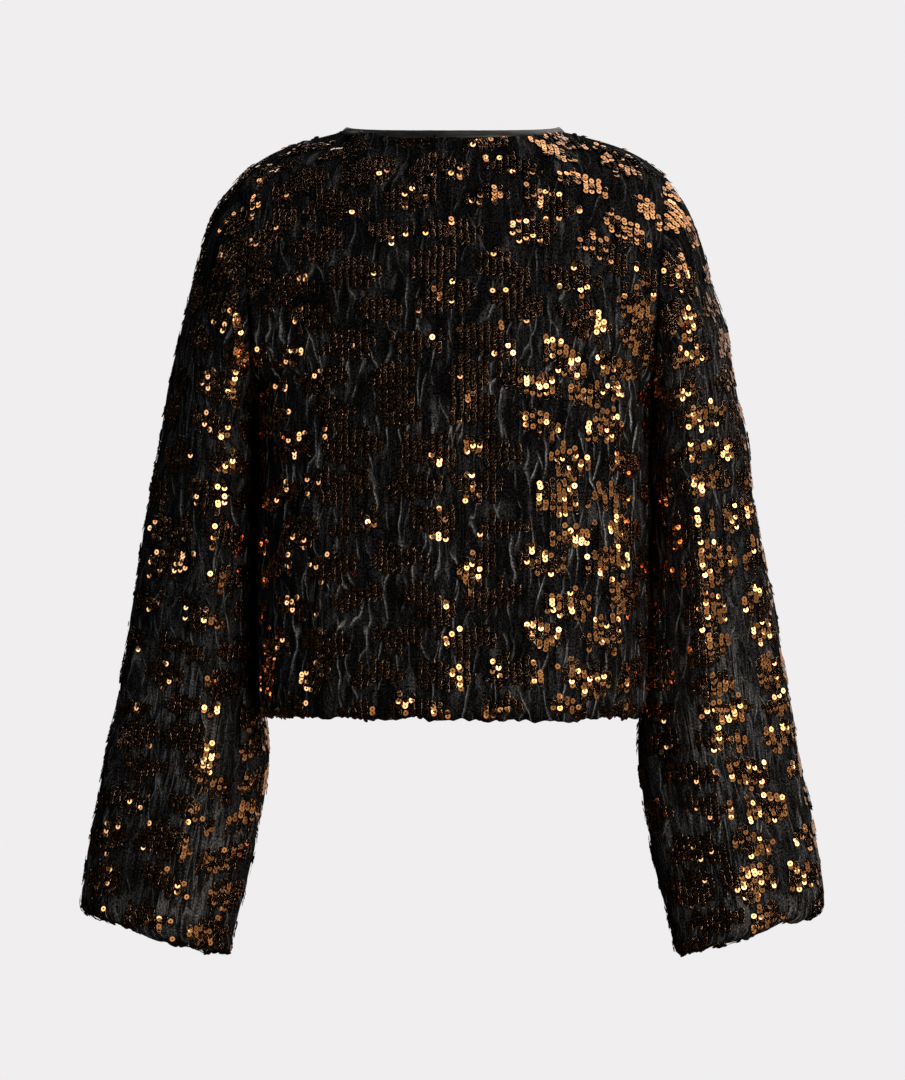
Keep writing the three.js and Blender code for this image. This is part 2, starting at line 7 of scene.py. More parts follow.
# %% Load the frame
import math
import bpy
import numpy as np
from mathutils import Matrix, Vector


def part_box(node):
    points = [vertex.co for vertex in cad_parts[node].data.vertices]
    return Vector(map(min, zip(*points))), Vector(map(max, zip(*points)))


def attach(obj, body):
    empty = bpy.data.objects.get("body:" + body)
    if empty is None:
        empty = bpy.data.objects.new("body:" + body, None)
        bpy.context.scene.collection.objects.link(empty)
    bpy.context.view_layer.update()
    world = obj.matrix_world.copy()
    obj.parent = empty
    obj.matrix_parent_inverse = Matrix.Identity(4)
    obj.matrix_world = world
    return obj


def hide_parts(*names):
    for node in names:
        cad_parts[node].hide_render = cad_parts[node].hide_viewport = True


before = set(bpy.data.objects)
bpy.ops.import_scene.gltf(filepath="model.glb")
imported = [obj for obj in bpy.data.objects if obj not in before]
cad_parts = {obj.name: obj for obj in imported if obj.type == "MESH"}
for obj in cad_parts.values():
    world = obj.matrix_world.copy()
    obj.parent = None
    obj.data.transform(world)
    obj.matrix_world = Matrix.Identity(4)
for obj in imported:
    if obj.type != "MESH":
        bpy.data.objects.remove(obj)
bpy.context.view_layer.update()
MM = 0.001
CELL = 2.2  # the cloth's mesh size
print("nodes:", sorted(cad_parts))

# %% [markdown]
# ## The cut of the cloth
# On the real jacket the back is one piece, each front is one piece and each sleeve is one wide tube, all
# cut from sequinned velvet and set together at the shoulder, side and armhole. The sections below are the
# ones that the CAD solids stand on, so the fine cloth lies exactly on them. Working from sections keeps
# every later step, such as folds, puckers and sequin rows, in the cloth's own measure across and down.

# %% Tables of the garment's form
WALL = 2.0
NECK_HALF_WIDTH = 93
BACK_NECK = (60, 7)
FRONT_NECK = (82, 80)
SHOULDER_TIP = (182.5, -40)
SHOULDER_SLOPE, SHOULDER_BEND = 0.55, 4
SQUARENESS = 2.5
FRONT_EDGE = 5.5
# seamX, seamZ, seamDepth, backZ, backDepth, frontZ, frontDepth, from the hem to below the shoulder
BODY = [
    (156.5, -497.5, 0, -498.5, 104, -498.5, 108),
    (162, -490.5, 0, -492, 109, -490.5, 112),
    (165.3, -476, 0, -478, 113, -474, 115),
    (166, -430, 0, -430, 113, -430, 117),
    (166.5, -350, 0, -350, 115, -350, 121),
    (166.5, -278, 0, -280, 118, -284, 124),
    (167, -233, 0, -230, 119, -242, 124),
    (168.5, -213, 46, -198, 118, -214, 122),
    (170.5, -180, 70, -166, 116, -187, 119),
    (173, -138, 79, -132, 111, -160, 114),
    (176, -98, 71, -98, 102, -134, 107),
    (179, -65, 48, -64, 89, -111, 98),
    (181, -47, 23, -34, 73, -94, 90),
]
ARMPIT = 6
# outerX, outerZ, innerX, innerZ, middleY, depth, share of the armhole's own shape
SLEEVE = [
    (197.5, -60, 169.3, -241, -1, 81, 0.5),
    (208, -84, 169.4, -256, -3, 80, 0.15),
    (217.5, -112, 168.9, -276, -8, 78, 0),
    (228.5, -152, 167.8, -303, -14, 76, 0),
    (239.5, -207, 167, -338, -20, 74, 0),
    (251.5, -277, 166.3, -383, -26, 71, 0),
    (265, -357, 164.6, -435, -33, 67, 0),
    (277.5, -428, 162.2, -482, -43, 63, 0),
    (291, -501, 158, -530, -50, 59, 0),
    (302.5, -567, 167.5, -594, -53, 57, 0),
    (313, -622, 180, -652, -57, 57, 0),
    (318, -651, 188.5, -688, -60, 57, 0),
    (317.5, -664, 192, -701, -61, 55, 0),
    (311.5, -668, 197.5, -703, -61, 50, 0),
]
# topX, topZ, footX, footZ, width, rise of each soft fold
BACK_FOLDS = [
    (88, -240, 150, -385, 13, 4.5),
    (98, -330, 112, -484, 12, 3.5),
    (128, -250, 132, -460, 10, -3),
    (52, -200, 60, -440, 15, -3),
    (20, -260, 8, -488, 14, 2.5),
    (-22, -190, -30, -420, 13, -2.5),
    (-62, -220, -70, -486, 14, 3.5),
    (-104, -180, -98, -400, 12, -3),
    (-148, -330, -128, -488, 12, 4.5),
    (128, -70, 150, -220, 11, -2.5),
    (-128, -70, -150, -220, 11, -2.5),
]
FRONT_FOLDS = [
    (132, -80, 148, -230, 11, -2.5),
    (84, -240, 92, -486, 14, 3.5),
    (120, -260, 122, -450, 12, -3),
    (48, -200, 44, -440, 13, -2.5),
    (146, -330, 138, -488, 11, 3.5),
]
# angle round the sleeve, top, foot, width, rise
SLEEVE_FOLDS = [
    (28, 0.2, 0.95, 13, 3),
    (62, 0.3, 1.0, 14, -3.5),
    (96, 0.25, 0.98, 13, 3.5),
    (134, 0.35, 1.0, 14, -3),
    (-36, 0.3, 0.95, 13, -3),
    (-78, 0.25, 1.0, 14, 3.5),
    (-122, 0.3, 0.95, 13, -3),
]
# the sleeve's cloth is fuller in front of its inner edge, where it lies against the side of the body
UNDERARM_FULL, UNDERARM_ANGLE = 8, 152
CAD_HALF, CAD_NECK = 14, 8  # columns of the CAD's half panel, and those along the neckline
FINE = 8  # fine columns for each of them
SLEEVE_COLUMNS = 224

# %% [markdown]
# ## Curves through the sections
# A half panel is a sheet of points: rows from the hem to the neckline and shoulder, columns from the centre
# line to the side seam. Each column is a smooth line through the sections. The seam column has a real
# corner at the armpit, where the side seam ends and the armhole begins.


# %% Functions that make a half panel
OUTLINE_POINTS = 1281  # how finely an outline is drawn before it is spaced evenly


def smooth(x):
    x = np.clip(x, 0, 1)
    return x * x * (3 - 2 * x)


def lengths(line):
    """Distance run along a line of points, along the first axis."""
    step = np.linalg.norm(np.diff(line, axis=0), axis=-1)
    return np.concatenate([np.zeros((1,) + step.shape[1:]), np.cumsum(step, axis=0)])


def on_line(line, run, at):
    return np.stack([np.interp(at, run, line[:, k]) for k in range(line.shape[1])], axis=1)


def evenly(curve, spaces):
    fine = curve(np.linspace(0, 1, OUTLINE_POINTS))
    run = lengths(fine)
    return on_line(fine, run, np.linspace(0, run[-1], spaces + 1))


def through(controls, steps):
    """Smooth lines through controls[0], controls[1] and so on, with that many steps in each space."""
    ends = 2 * controls[0] - controls[1], 2 * controls[-1] - controls[-2]
    c = np.concatenate([ends[0][None], controls, ends[1][None]])
    out = []
    for i, count in enumerate(steps):
        p0, p1, p2, p3 = c[i : i + 4]
        d0, d1, d2 = (
            np.sqrt(np.linalg.norm(b - a, axis=-1))[..., None]
            for a, b in ((p0, p1), (p1, p2), (p2, p3))
        )
        t1 = ((p1 - p0) / d0 - (p2 - p0) / (d0 + d1) + (p2 - p1) / d1) * d1
        t2 = ((p2 - p1) / d1 - (p3 - p1) / (d1 + d2) + (p3 - p2) / d2) * d1
        s = np.linspace(0, 1, count, endpoint=False)[:, None, None]
        out.append(p1 + t1 * s + (3 * (p2 - p1) - 2 * t1 - t2) * s**2 + (2 * (p1 - p2) + t1 + t2) * s**3)
    return np.concatenate(out + [controls[-1][None]])


def steps_for(controls):
    far = np.linalg.norm(np.diff(controls, axis=0), axis=-1).max(axis=1)
    return [max(2, round(d / CELL)) for d in far]


def section_points(row, side):
    seam_x, seam_z, seam_depth = row[:3]
    middle_z, depth = row[3:5] if side > 0 else row[5:7]
    full = seam_x / (1 - (seam_depth / depth) ** SQUARENESS) ** (1 / SQUARENESS)
    seam_angle = math.atan2(seam_depth / depth, seam_x / full)

    def outline(share):
        angle = math.pi / 2 + (seam_angle - math.pi / 2) * share
        c, s = np.cos(angle), np.sin(angle)
        reach = (np.abs(c) ** SQUARENESS + np.abs(s) ** SQUARENESS) ** (-1 / SQUARENESS)
        return np.stack([full * c * reach, side * depth * s * reach, 0 * c], axis=1)

    points = evenly(outline, CAD_HALF * FINE)
    share = np.linspace(0, 1, len(points))
    points[:, 2] = middle_z + (seam_z - middle_z) * share**2
    return points


def upper_edge(side):
    depth, drop = BACK_NECK if side > 0 else FRONT_NECK

    def neckline(share):
        angle = share * math.pi / 2
        return np.stack(
            [NECK_HALF_WIDTH * np.sin(angle), side * depth * np.cos(angle), -drop * np.cos(angle)], axis=1
        )

    def shoulder(share):
        x = NECK_HALF_WIDTH + (SHOULDER_TIP[0] - NECK_HALF_WIDTH) * share
        z = SHOULDER_TIP[1] * (SHOULDER_SLOPE * share + (1 - SHOULDER_SLOPE) * share**SHOULDER_BEND)
        return np.stack([x, 0 * share, z], axis=1)

    return np.concatenate(
        [evenly(neckline, CAD_NECK * FINE)[:-1], evenly(shoulder, (CAD_HALF - CAD_NECK) * FINE)]
    )


def half_panel(side):
    controls = np.stack([section_points(row, side) for row in BODY] + [upper_edge(side)])
    steps = steps_for(controls)
    whole = through(controls, steps)
    below = through(controls[: ARMPIT + 1], steps[:ARMPIT])
    cornered = np.concatenate([below[:-1], through(controls[ARMPIT:], steps[ARMPIT:])])
    share = np.clip(np.arange(whole.shape[1]) / FINE - (CAD_HALF - 1), 0, 1)[None, :, None]
    return whole * (1 - share) + cornered * share, sum(steps[:ARMPIT])


def mirrored(points):
    return points * np.array([-1, 1, 1])


back_half, back_armpit = half_panel(1)
front_half, front_armpit = half_panel(-1)
back_rows = np.concatenate([mirrored(back_half[:, :0:-1]), back_half], axis=1)


def front_rows():
    """A front starts at its own edge beside the zip, so its first columns are spread out again from there."""
    rows = front_half.copy()
    index = np.arange(rows.shape[1], dtype=float)
    for i, row in enumerate(front_half):
        start = np.interp(FRONT_EDGE, row[:, 0], index)
        at = index.copy()
        at[: FINE + 1] = np.linspace(start, FINE, FINE + 1)
        rows[i] = on_line(row, index, at)
    return rows


front = front_rows()
print("half panels:", back_half.shape, front_half.shape)

# %% [markdown]
# ## The sleeves
# A sleeve starts on the armhole's own loop and is carried down through tilted rings. They lean forward as
# they go down, the way a filled sleeve hangs, so from behind the body covers the sleeve's inner edge.


# %% Functions that make a sleeve
def sleeve_rows():
    back_edge = back_half[back_armpit:, -1]
    front_edge = front_half[front_armpit:, -1]
    loop = np.concatenate([back_edge, front_edge[::-1]])
    run = lengths(loop)
    loop = on_line(loop, run, np.linspace(0, run[-1], SLEEVE_COLUMNS, endpoint=False))
    top, foot = np.array([SHOULDER_TIP[0], 0, SHOULDER_TIP[1]]), loop[0]
    middle, reach = (top + foot) / 2, (top - foot) / 2
    up = (loop - middle) @ reach / (reach @ reach)
    out = loop[:, 1] / loop[:, 1].max()
    angle, swell = np.arctan2(out, up), np.hypot(up, out)
    rings = [loop]
    for outer_x, outer_z, inner_x, inner_z, middle_y, depth, share in SLEEVE:
        outer, inner = np.array([outer_x, middle_y, outer_z]), np.array([inner_x, middle_y, inner_z])
        far = 1 + (swell - 1) * share
        ring = (outer + inner) / 2 + (outer - inner) / 2 * (np.cos(angle) * far)[:, None]
        ring[:, 1] += depth * np.sin(angle) * far
        rings.append(ring)
    controls = np.stack(rings)
    return through(controls, steps_for(controls)), np.degrees(angle)


sleeve, sleeve_angle = sleeve_rows()
print("sleeve:", sleeve.shape)

# %% [markdown]
# ## Uneven cloth
# Crushed velvet is never even: its pile is pressed in narrow branching creases, and it puffs between them.
# These functions give repeatable noise, so that every run of the script makes the same jacket.


# %% Functions for repeatable unevenness
def scatter(i, j, seed):
    """A number from 0 to 1 for each pair of whole numbers. The large numbers only mix the bits."""
    h = (np.asarray(i, np.int64) * 73856093) ^ (np.asarray(j, np.int64) * 19349663) ^ (seed * 83492791)
    h = (((h ^ (h >> 13)) & 0x7FFFFFFF) * 1274126177) & 0x7FFFFFFF
    h = ((h ^ (h >> 15)) * 1911520717) & 0x7FFFFFFF
    return (h ^ (h >> 12)) / 0x80000000


def noise(x, y, seed):
    """Smooth noise from -1 to 1."""
    i, j = np.floor(x).astype(np.int64), np.floor(y).astype(np.int64)
    a, b = smooth(x - i), smooth(y - j)
    low = scatter(i, j, seed) * (1 - a) + scatter(i + 1, j, seed) * a
    high = scatter(i, j + 1, seed) * (1 - a) + scatter(i + 1, j + 1, seed) * a
    return (low * (1 - b) + high * b) * 2 - 1


# %% [markdown]
# ## Where the sequins are
# The embroidery machine sews sequins in chains that run down the cloth. The chains start and stop in steps,
# so they make flat, ragged islands that are staggered from one row to the next, with bare velvet between
# them. The islands here are set out by a rule with chance in it, not copied from any cloth.

# %% The rule for the islands
CHAIN_PITCH = 5.6  # between chains
SEQUIN_PITCH = 3.1  # along one
SEQUIN_RADIUS = 2.5
SEQUIN_SHIFT = 0.65  # how far one may lie from its even place
SEQUIN_TURN = 0.15  # how far its facing may drift from the cloth's, as a slope
ISLAND_PITCH = 31.0  # from one row of islands down to the next
ISLAND_PERIOD = 60.0  # from one island across to the next
ISLAND_RAGGED = 11
OUTSIDE = -9.0


def island(u, v, seed):
    """Above zero inside an island of sequins, in millimetres from its ragged edge."""
    # wavy rows of islands, staggered by half a period from row to row
    w = v + 9 * noise(u / 47, v / 150, seed) + 4 * noise(u / 16, v / 90, seed + 1)
    row = np.floor(w / ISLAND_PITCH).astype(np.int64)
    y = w - (row + 0.5) * ISLAND_PITCH
    s = u / ISLAND_PERIOD + 0.5 * (row % 2) + 0.6 * scatter(row, 0, seed + 2)
    k = np.floor(s).astype(np.int64)
    t = s - k
    # each island has its own width, height and slant
    wide = 0.62 + 0.34 * scatter(row, k, seed + 3)
    a = np.clip(t / wide, 0, 1)
    half = (8.5 + 7.5 * scatter(row, k, seed + 4)) * np.sin(math.pi * a) ** 0.45
    middle = 6 * (scatter(row, k, seed + 5) - 0.5) + 12 * (scatter(row, k, seed + 6) - 0.5) * (a - 0.5)
    # each chain starts and stops a little early or late
    chain = np.round(u / CHAIN_PITCH).astype(np.int64)
    above = half + ISLAND_RAGGED * (scatter(chain, row, seed + 7) - 0.5)
    below = half + ISLAND_RAGGED * (scatter(chain, row, seed + 8) - 0.5)
    inside = np.minimum(above - (y - middle), below + (y - middle))
    return np.where(t < wide, inside, OUTSIDE)


# %% [markdown]
# ## Panels with folds, gathers and puckers
# Each panel keeps its outer points, its outward normals, and its own measure across (u) and down (v). Soft
# folds come first and are the CAD's own. The gathers at hem and cuff come next: there the cloth is drawn in
# and turned under, so its edge is scalloped. The fine crush comes last.


# %% Functions for soft folds
def normals_of(points, round_it, sign):
    if round_it:
        across = np.roll(points, -1, axis=1) - np.roll(points, 1, axis=1)
    else:
        across = np.gradient(points, axis=1)
    up = np.gradient(points, axis=0)
    n = np.cross(across, up) * sign
    return n / np.maximum(np.linalg.norm(n, axis=-1, keepdims=True), 1e-9)


def fold_lift(folds, x, z):
    total = np.zeros_like(x)
    for top_x, top_z, foot_x, foot_z, width, rise in folds:
        dx, dz = foot_x - top_x, foot_z - top_z
        along = np.clip(((x - top_x) * dx + (z - top_z) * dz) / (dx * dx + dz * dz), 0, 1)
        far = (x - top_x - dx * along) ** 2 + (z - top_z - dz * along) ** 2
        fade = smooth(along * 3) * smooth((1 - along) * 4 + 0.25)
        total += rise * fade * np.exp(-far / width**2)
    return total


def body_lift(points, folds, both_sides):
    x, z = points[..., 0], points[..., 2]
    lift = fold_lift(folds, np.abs(x) if both_sides else x, z)
    # folds fade out before the side seam, the shoulder and the zip
    lift *= smooth((166 - np.abs(x)) / 14) * smooth((-40 - z) / 60)
    return lift * smooth((np.abs(x) - 20) / 14) if both_sides else lift


def sleeve_lift(points):
    share = np.linspace(0, 1, points.shape[0])[:, None]
    angle = sleeve_angle[None, :]
    total = np.zeros(points.shape[:2])
    for around, top, foot, width, rise in SLEEVE_FOLDS:
        fade = smooth((share - top) * 4) * smooth((foot - share) * 6 + 0.5)
        total += rise * fade * np.exp(-(((angle - around) / width) ** 2))
    # folds fade out before the seam under the arm, and the cloth is full only where it meets the body
    total *= smooth((165 - np.abs(angle)) / 30)
    beside_body = smooth((-222 - points[..., 2]) / 30) * smooth((points[..., 2] + 440) / 80)
    return total + UNDERARM_FULL * beside_body * np.exp(-(((angle + UNDERARM_ANGLE) / 20) ** 2))


# %% [markdown]
# ### Crush
# Velvet that is crushed keeps long puffs between narrow valleys. Noise passes through zero along a
# wandering line, so a surface that dips wherever its noise is near zero has such valleys. Two sets at a
# slant to each other are enough, and the same blur softens the edge of the sequin islands.


# %% Functions for the crushed surface
def crush(u, v, seed):
    """Long puffs between creases that run mostly down the cloth."""
    x = u + 5 * noise(u / 24, v / 30, seed) + 2 * noise(u / 8, v / 13, seed + 1)
    first = np.abs(noise(x / 11, v / 34, seed + 2) + 0.35 * noise(x / 5, v / 15, seed + 3))
    second = np.abs(noise((x + 0.35 * v) / 17, (v - 0.2 * x) / 30, seed + 4))
    return np.minimum(smooth(first / 0.5), 0.5 + 0.5 * smooth(second / 0.3)) - 0.6


def blurred(a, passes):
    for _ in range(passes):
        for axis in (0, 1):
            b = np.pad(a, [(1, 1) if k == axis else (0, 0) for k in (0, 1)], mode="edge")
            before, after = (np.take(b, range(k, a.shape[axis] + k), axis) for k in (0, 2))
            a = (before + 2 * a + after) / 4
    return a


# %% [markdown]
# ### The cloth's own measure
# Chains of sequins and crease lines follow the grain of the cloth. So each point gets its distance across
# and down the panel, measured along the smooth form.


# %% Functions that measure across and down
def run_across(base):
    """Distance run along each row."""
    return lengths(base.transpose(1, 0, 2)).T


def body_measure(base, start_row, middle):
    """Distance across from the middle column, and along each column from the start row."""
    across, down = run_across(base), lengths(base)
    return across - across[:, middle : middle + 1], down - down[start_row], None


def sleeve_measure(base, middle):
    """The same for a tube, with its rings' tilt taken out, so that the grain follows the arm."""
    centre = base.mean(axis=1)
    along = np.gradient(centre, axis=0)
    for _ in range(30):
        along[1:-1] = (along[:-2] + along[1:-1] + along[2:]) / 3
    along /= np.linalg.norm(along, axis=1, keepdims=True)
    step = np.roll(base, -1, axis=1) - base
    step -= (step * along[:, None]).sum(axis=-1, keepdims=True) * along[:, None]
    run = np.concatenate([np.zeros((len(base), 1)), np.cumsum(np.linalg.norm(step, axis=-1), axis=1)], axis=1)
    down = lengths(centre)[:, None] + ((base - centre[:, None]) * along[:, None]).sum(axis=-1)
    return run[:, :-1] - run[:, middle : middle + 1], down, run[:, -1] - run[:, middle]


# %% [markdown]
# ### From form to cloth
# The form is lifted in steps: soft folds, broad unevenness with the gathers, then the fine crush. Cloth
# under sequins is held flatter, and it sinks a little into each seam. The backing follows the broad shape
# only.


# %% Functions that make a panel
GATHER, GATHER_REACH = 1.7, 26  # height of the gathers, and how far up from the edge they go
SAG, SAG_REACH = 1.6, 9  # the same for the scallops of the edge itself
SEAM_GROOVE, SEAM_WIDTH = 0.8, 2.2
SEAM_FADE, BARE_FADE = 7, 5  # puffs and crease lines fade out this near a seam
FAR_FROM_SEAM = 99.0
FAR_SIDE = 50  # a panel that starts further to the side than this has a seam there too


def make_panel(name, points, sign, round_it, lift, measure, seed, seams):
    base = points + normals_of(points, round_it, sign) * lift[..., None]
    normal = normals_of(base, round_it, sign)
    u, v, closing = measure(base)
    mask = blurred((island(u, v, seed) > 0).astype(float), 3)
    seam = seams(base, u)
    beside_seam = smooth(seam / SEAM_FADE)
    from_edge = lengths(base[::-1])[::-1] if round_it else lengths(base)
    wave = noise(u / 6.5, v / 60, seed + 40) + 0.6 * noise(u / 14, v / 80, seed + 41)
    broad = 2.1 * noise(u / 34, v / 46, seed + 42) + 0.9 * noise(u / 15, v / 24, seed + 43)
    broad = (broad + GATHER * np.exp(-from_edge / GATHER_REACH) * wave) * beside_seam
    groove = SEAM_GROOVE * np.exp(-((seam / SEAM_WIDTH) ** 2))
    puff = crush(u, v, seed + 20)
    fine = (puff * (1 - 0.75 * mask) - 0.3 * mask) * beside_seam - groove
    shown = base + normal * (broad + fine)[..., None]
    scallop = noise(u / 7, 0 * v, seed + 44) + 0.5 * noise(u / 3.4, 0 * v, seed + 45)
    shown[..., 2] -= SAG * np.exp(-from_edge / SAG_REACH) * scallop
    return {
        "name": name,
        "base": base,
        "normal": normal,
        "shown": shown,
        "inner": base + normal * (broad - WALL)[..., None],
        "u": u,
        "v": v,
        "mask": mask,
        "bare": (1 - mask) * smooth(seam / BARE_FADE),
        "round": round_it,
        "sign": sign,
        "closing": closing,
        "seed": seed,
    }


def body_seams(base, u):
    """Distance to the panel's own side, shoulder and armhole edges."""
    across, up = run_across(base), lengths(base)
    far = np.minimum(FAR_FROM_SEAM, across[:, -1:] - across)
    if base[0, 0, 0] * base[0, -1, 0] < 0 and abs(base[0, 0, 0]) > FAR_SIDE:
        far = np.minimum(far, across)
    on_shoulder = np.abs(base[-1, :, 0]) > NECK_HALF_WIDTH
    return np.where(on_shoulder[None, :], np.minimum(far, up[-1:] - up), far)


def sleeve_seams(base, u):
    """Distance to the armhole and to the seam under the arm."""
    under_arm = np.minimum(u.max(axis=1, keepdims=True) - u, u - u.min(axis=1, keepdims=True))
    return np.minimum(lengths(base), under_arm)


# %% The five panels
columns = back_half.shape[1]
shoulder_column = int(np.argmin(np.abs(sleeve_angle)))
back_lift = body_lift(back_rows, BACK_FOLDS, False)
front_lift = body_lift(front, FRONT_FOLDS, True)
arm_lift = sleeve_lift(sleeve)


def on_back(base):
    return body_measure(base, back_armpit, columns - 1)


def on_front(base):
    return body_measure(base, front_armpit, 0)


def on_sleeve(base):
    return sleeve_measure(base, shoulder_column)


panels = [
    make_panel("back", back_rows, -1, False, back_lift, on_back, 11, body_seams),
    make_panel("front_left", front, 1, False, front_lift, on_front, 300, body_seams),
    make_panel("front_right", mirrored(front), -1, False, front_lift, on_front, 420, body_seams),
    make_panel("sleeve_left", sleeve, 1, True, arm_lift, on_sleeve, 530, sleeve_seams),
    make_panel("sleeve_right", mirrored(sleeve), -1, True, arm_lift, on_sleeve, 640, sleeve_seams),
]
for panel in panels:
    print(panel["name"], panel["shown"].shape, "islands cover", round(float(panel["mask"].mean()), 2))

# %% [markdown]
# ## Materials
# Velvet is black pile. The grey it shows along each crushed crease, in a thin lit flank beside it, in
# streaks and in broad patches is painted sheen: light that lying pile would catch, put into the colour. The
# crease highlights are thin broken lines that run down the cloth and waver, in the cloth's own measure, so
# nothing slides when the view changes. The mesh tells where the cloth is bare of sequins, and how strong
# the painted sheen is: little at the shoulders, more down the sleeves and towards the hem. Sequins are
# metal foil with a dark hole in the middle and a pressed rim that catches a spark of light from wherever
# the disc faces.


# %% Helpers for nodes
def fill_inputs(tree, node, inputs):
    """Sets or links inputs. Each is given by its name, or by its number as i0, i1 and so on."""
    for key, value in inputs.items():
        numbered = key[0] == "i" and key[1:].isdigit()
        socket = node.inputs[int(key[1:]) if numbered else key.replace("_", " ")]
        if isinstance(value, bpy.types.NodeSocket):
            tree.links.new(value, socket)
        else:
            socket.default_value = value


def add_node(tree, kind, output=0, settings=None, **inputs):
    """Adds a node and returns one of its outputs."""
    node = tree.nodes.new(kind)
    for key, value in (settings or {}).items():
        setattr(node, key, value)
    fill_inputs(tree, node, inputs)
    return node.outputs[output]


class Nodes:
    """The nodes of one material. Each call adds nodes and returns an output."""

    def __init__(self, name):
        self.material = bpy.data.materials.new(name)
        self.material.use_nodes = True
        self.tree = self.material.node_tree

    def add(self, kind, output=0, settings=None, **inputs):
        return add_node(self.tree, kind, output, settings, **inputs)

    def surface(self, **inputs):
        fill_inputs(self.tree, self.tree.nodes["Principled BSDF"], inputs)
        return self.material

    def math(self, operation, a, b=0.0):
        return self.add("ShaderNodeMath", 0, {"operation": operation}, i0=a, i1=b)

    def times(self, a, b):
        return self.math("MULTIPLY", a, b)

    def larger(self, a, b):
        return self.math("MAXIMUM", a, b)

    def off_half(self, value):
        return self.math("ABSOLUTE", self.math("SUBTRACT", value, 0.5))

    def ranged(self, value, start, stop, low=0.0, high=1.0, kind="LINEAR"):
        """Goes from low to high while the value goes from start to stop."""
        settings = {"interpolation_type": kind}
        return self.add("ShaderNodeMapRange", 0, settings, i0=value, i1=start, i2=stop, i3=low, i4=high)

    def eased(self, value, start, stop, low=0.0, high=1.0):
        return self.ranged(value, start, stop, low, high, "SMOOTHSTEP")

    def attribute(self, name):
        return self.add("ShaderNodeAttribute", 2, {"attribute_name": name})

    def mixed(self, share, first, second):
        return self.add("ShaderNodeMix", 2, {"data_type": "RGBA"}, i0=share, i6=first, i7=second)

    def bump(self, height, strength, distance, **inputs):
        return self.add("ShaderNodeBump", Strength=strength, Distance=distance, Height=height, **inputs)

    def ramp(self, value, stops):
        out = self.add("ShaderNodeValToRGB", i0=value)
        elements = out.node.color_ramp.elements
        while len(elements) < len(stops):
            elements.new(0.5)
        for element, (at, colour) in zip(elements, stops):
            element.position = at
            element.color = (*colour, 1)
        return out

    def cloth_uv(self):
        return self.add("ShaderNodeUVMap", settings={"uv_map": "UVMap"})

    def cloth_noise(self, across, down, detail, roughness=0.5):
        """Noise with about so many blots in each metre across the cloth and down it."""
        place = self.add("ShaderNodeMapping", i0=self.cloth_uv(), i3=(across, down, 1))
        return self.add("ShaderNodeTexNoise", i0=place, Scale=1.0, Detail=detail, Roughness=roughness)

    def object_place(self):
        return self.add("ShaderNodeTexCoord", 3)

    def object_noise(self, scale, detail, stretch=None):
        place = self.object_place()
        if stretch:
            place = self.add("ShaderNodeMapping", i0=place, i3=stretch)
        return self.add("ShaderNodeTexNoise", i0=place, Scale=scale, Detail=detail)


# %% Velvet
def crease_sheen_lines(n, period, slant, thin, waver, gap):
    """Thin painted highlights along creases that run down the cloth, waver, and come and go, each with a
    faint painted lit flank on one side. Sizes are in millimetres.
    """
    across = n.add("ShaderNodeSeparateXYZ", i0=n.cloth_uv())
    down = across.node.outputs[1]
    bend = n.math("SUBTRACT", n.cloth_noise(30 + period, 21, 2.0), 0.5)
    shifted = n.math("ADD", across, n.times(bend, waver * MM))
    leaning = n.math("ADD", shifted, n.times(down, slant))
    beat = n.math("FRACT", n.times(leaning, 1 / (period * MM)))
    line = n.eased(n.off_half(beat), thin / period, 0.0)
    lit_flank = n.eased(beat, 0.5 - 3 * thin / period, 0.5)
    lit_flank = n.times(n.times(lit_flank, n.math("LESS_THAN", beat, 0.5)), 0.2)
    here = n.eased(n.cloth_noise(gap, gap * 0.32, 1.0), 0.46, 0.72)
    return n.times(n.larger(line, lit_flank), here)


def velvet_sheen_lines(n, sheen_towards_hem):
    """Painted sheen along upright creases and two slanting kinds. They are weaker where the broad painted
    sheen towards the hem and cuffs is stronger.
    """
    upright = crease_sheen_lines(n, 12, 0.03, 1.15, 27, 58)
    rising = crease_sheen_lines(n, 19, 0.3, 0.95, 20, 70)
    falling = crease_sheen_lines(n, 23, -0.27, 0.95, 20, 78)
    lines = n.larger(upright, n.larger(rising, falling))
    lines = n.times(lines, n.attribute("crease_sheen_amount"))
    return n.times(lines, n.math("SUBTRACT", 1.6, n.times(sheen_towards_hem, 0.8)))


def velvet_shimmer(n, sheen_towards_hem, wrinkle_bump_and_sheen):
    """Painted sheen: streaks of flattened pile that catch the light, in broad patches, stronger towards the
    hem and cuffs.
    """
    broad = n.eased(n.cloth_noise(13, 7, 2.0), 0.46, 0.64, 0.12)
    streak = n.eased(n.cloth_noise(300, 45, 3.0, 0.6), 0.47, 0.66)
    streak = n.larger(n.times(wrinkle_bump_and_sheen, 0.8), n.times(streak, 0.45))
    return n.times(n.times(broad, streak), n.times(sheen_towards_hem, 0.7))


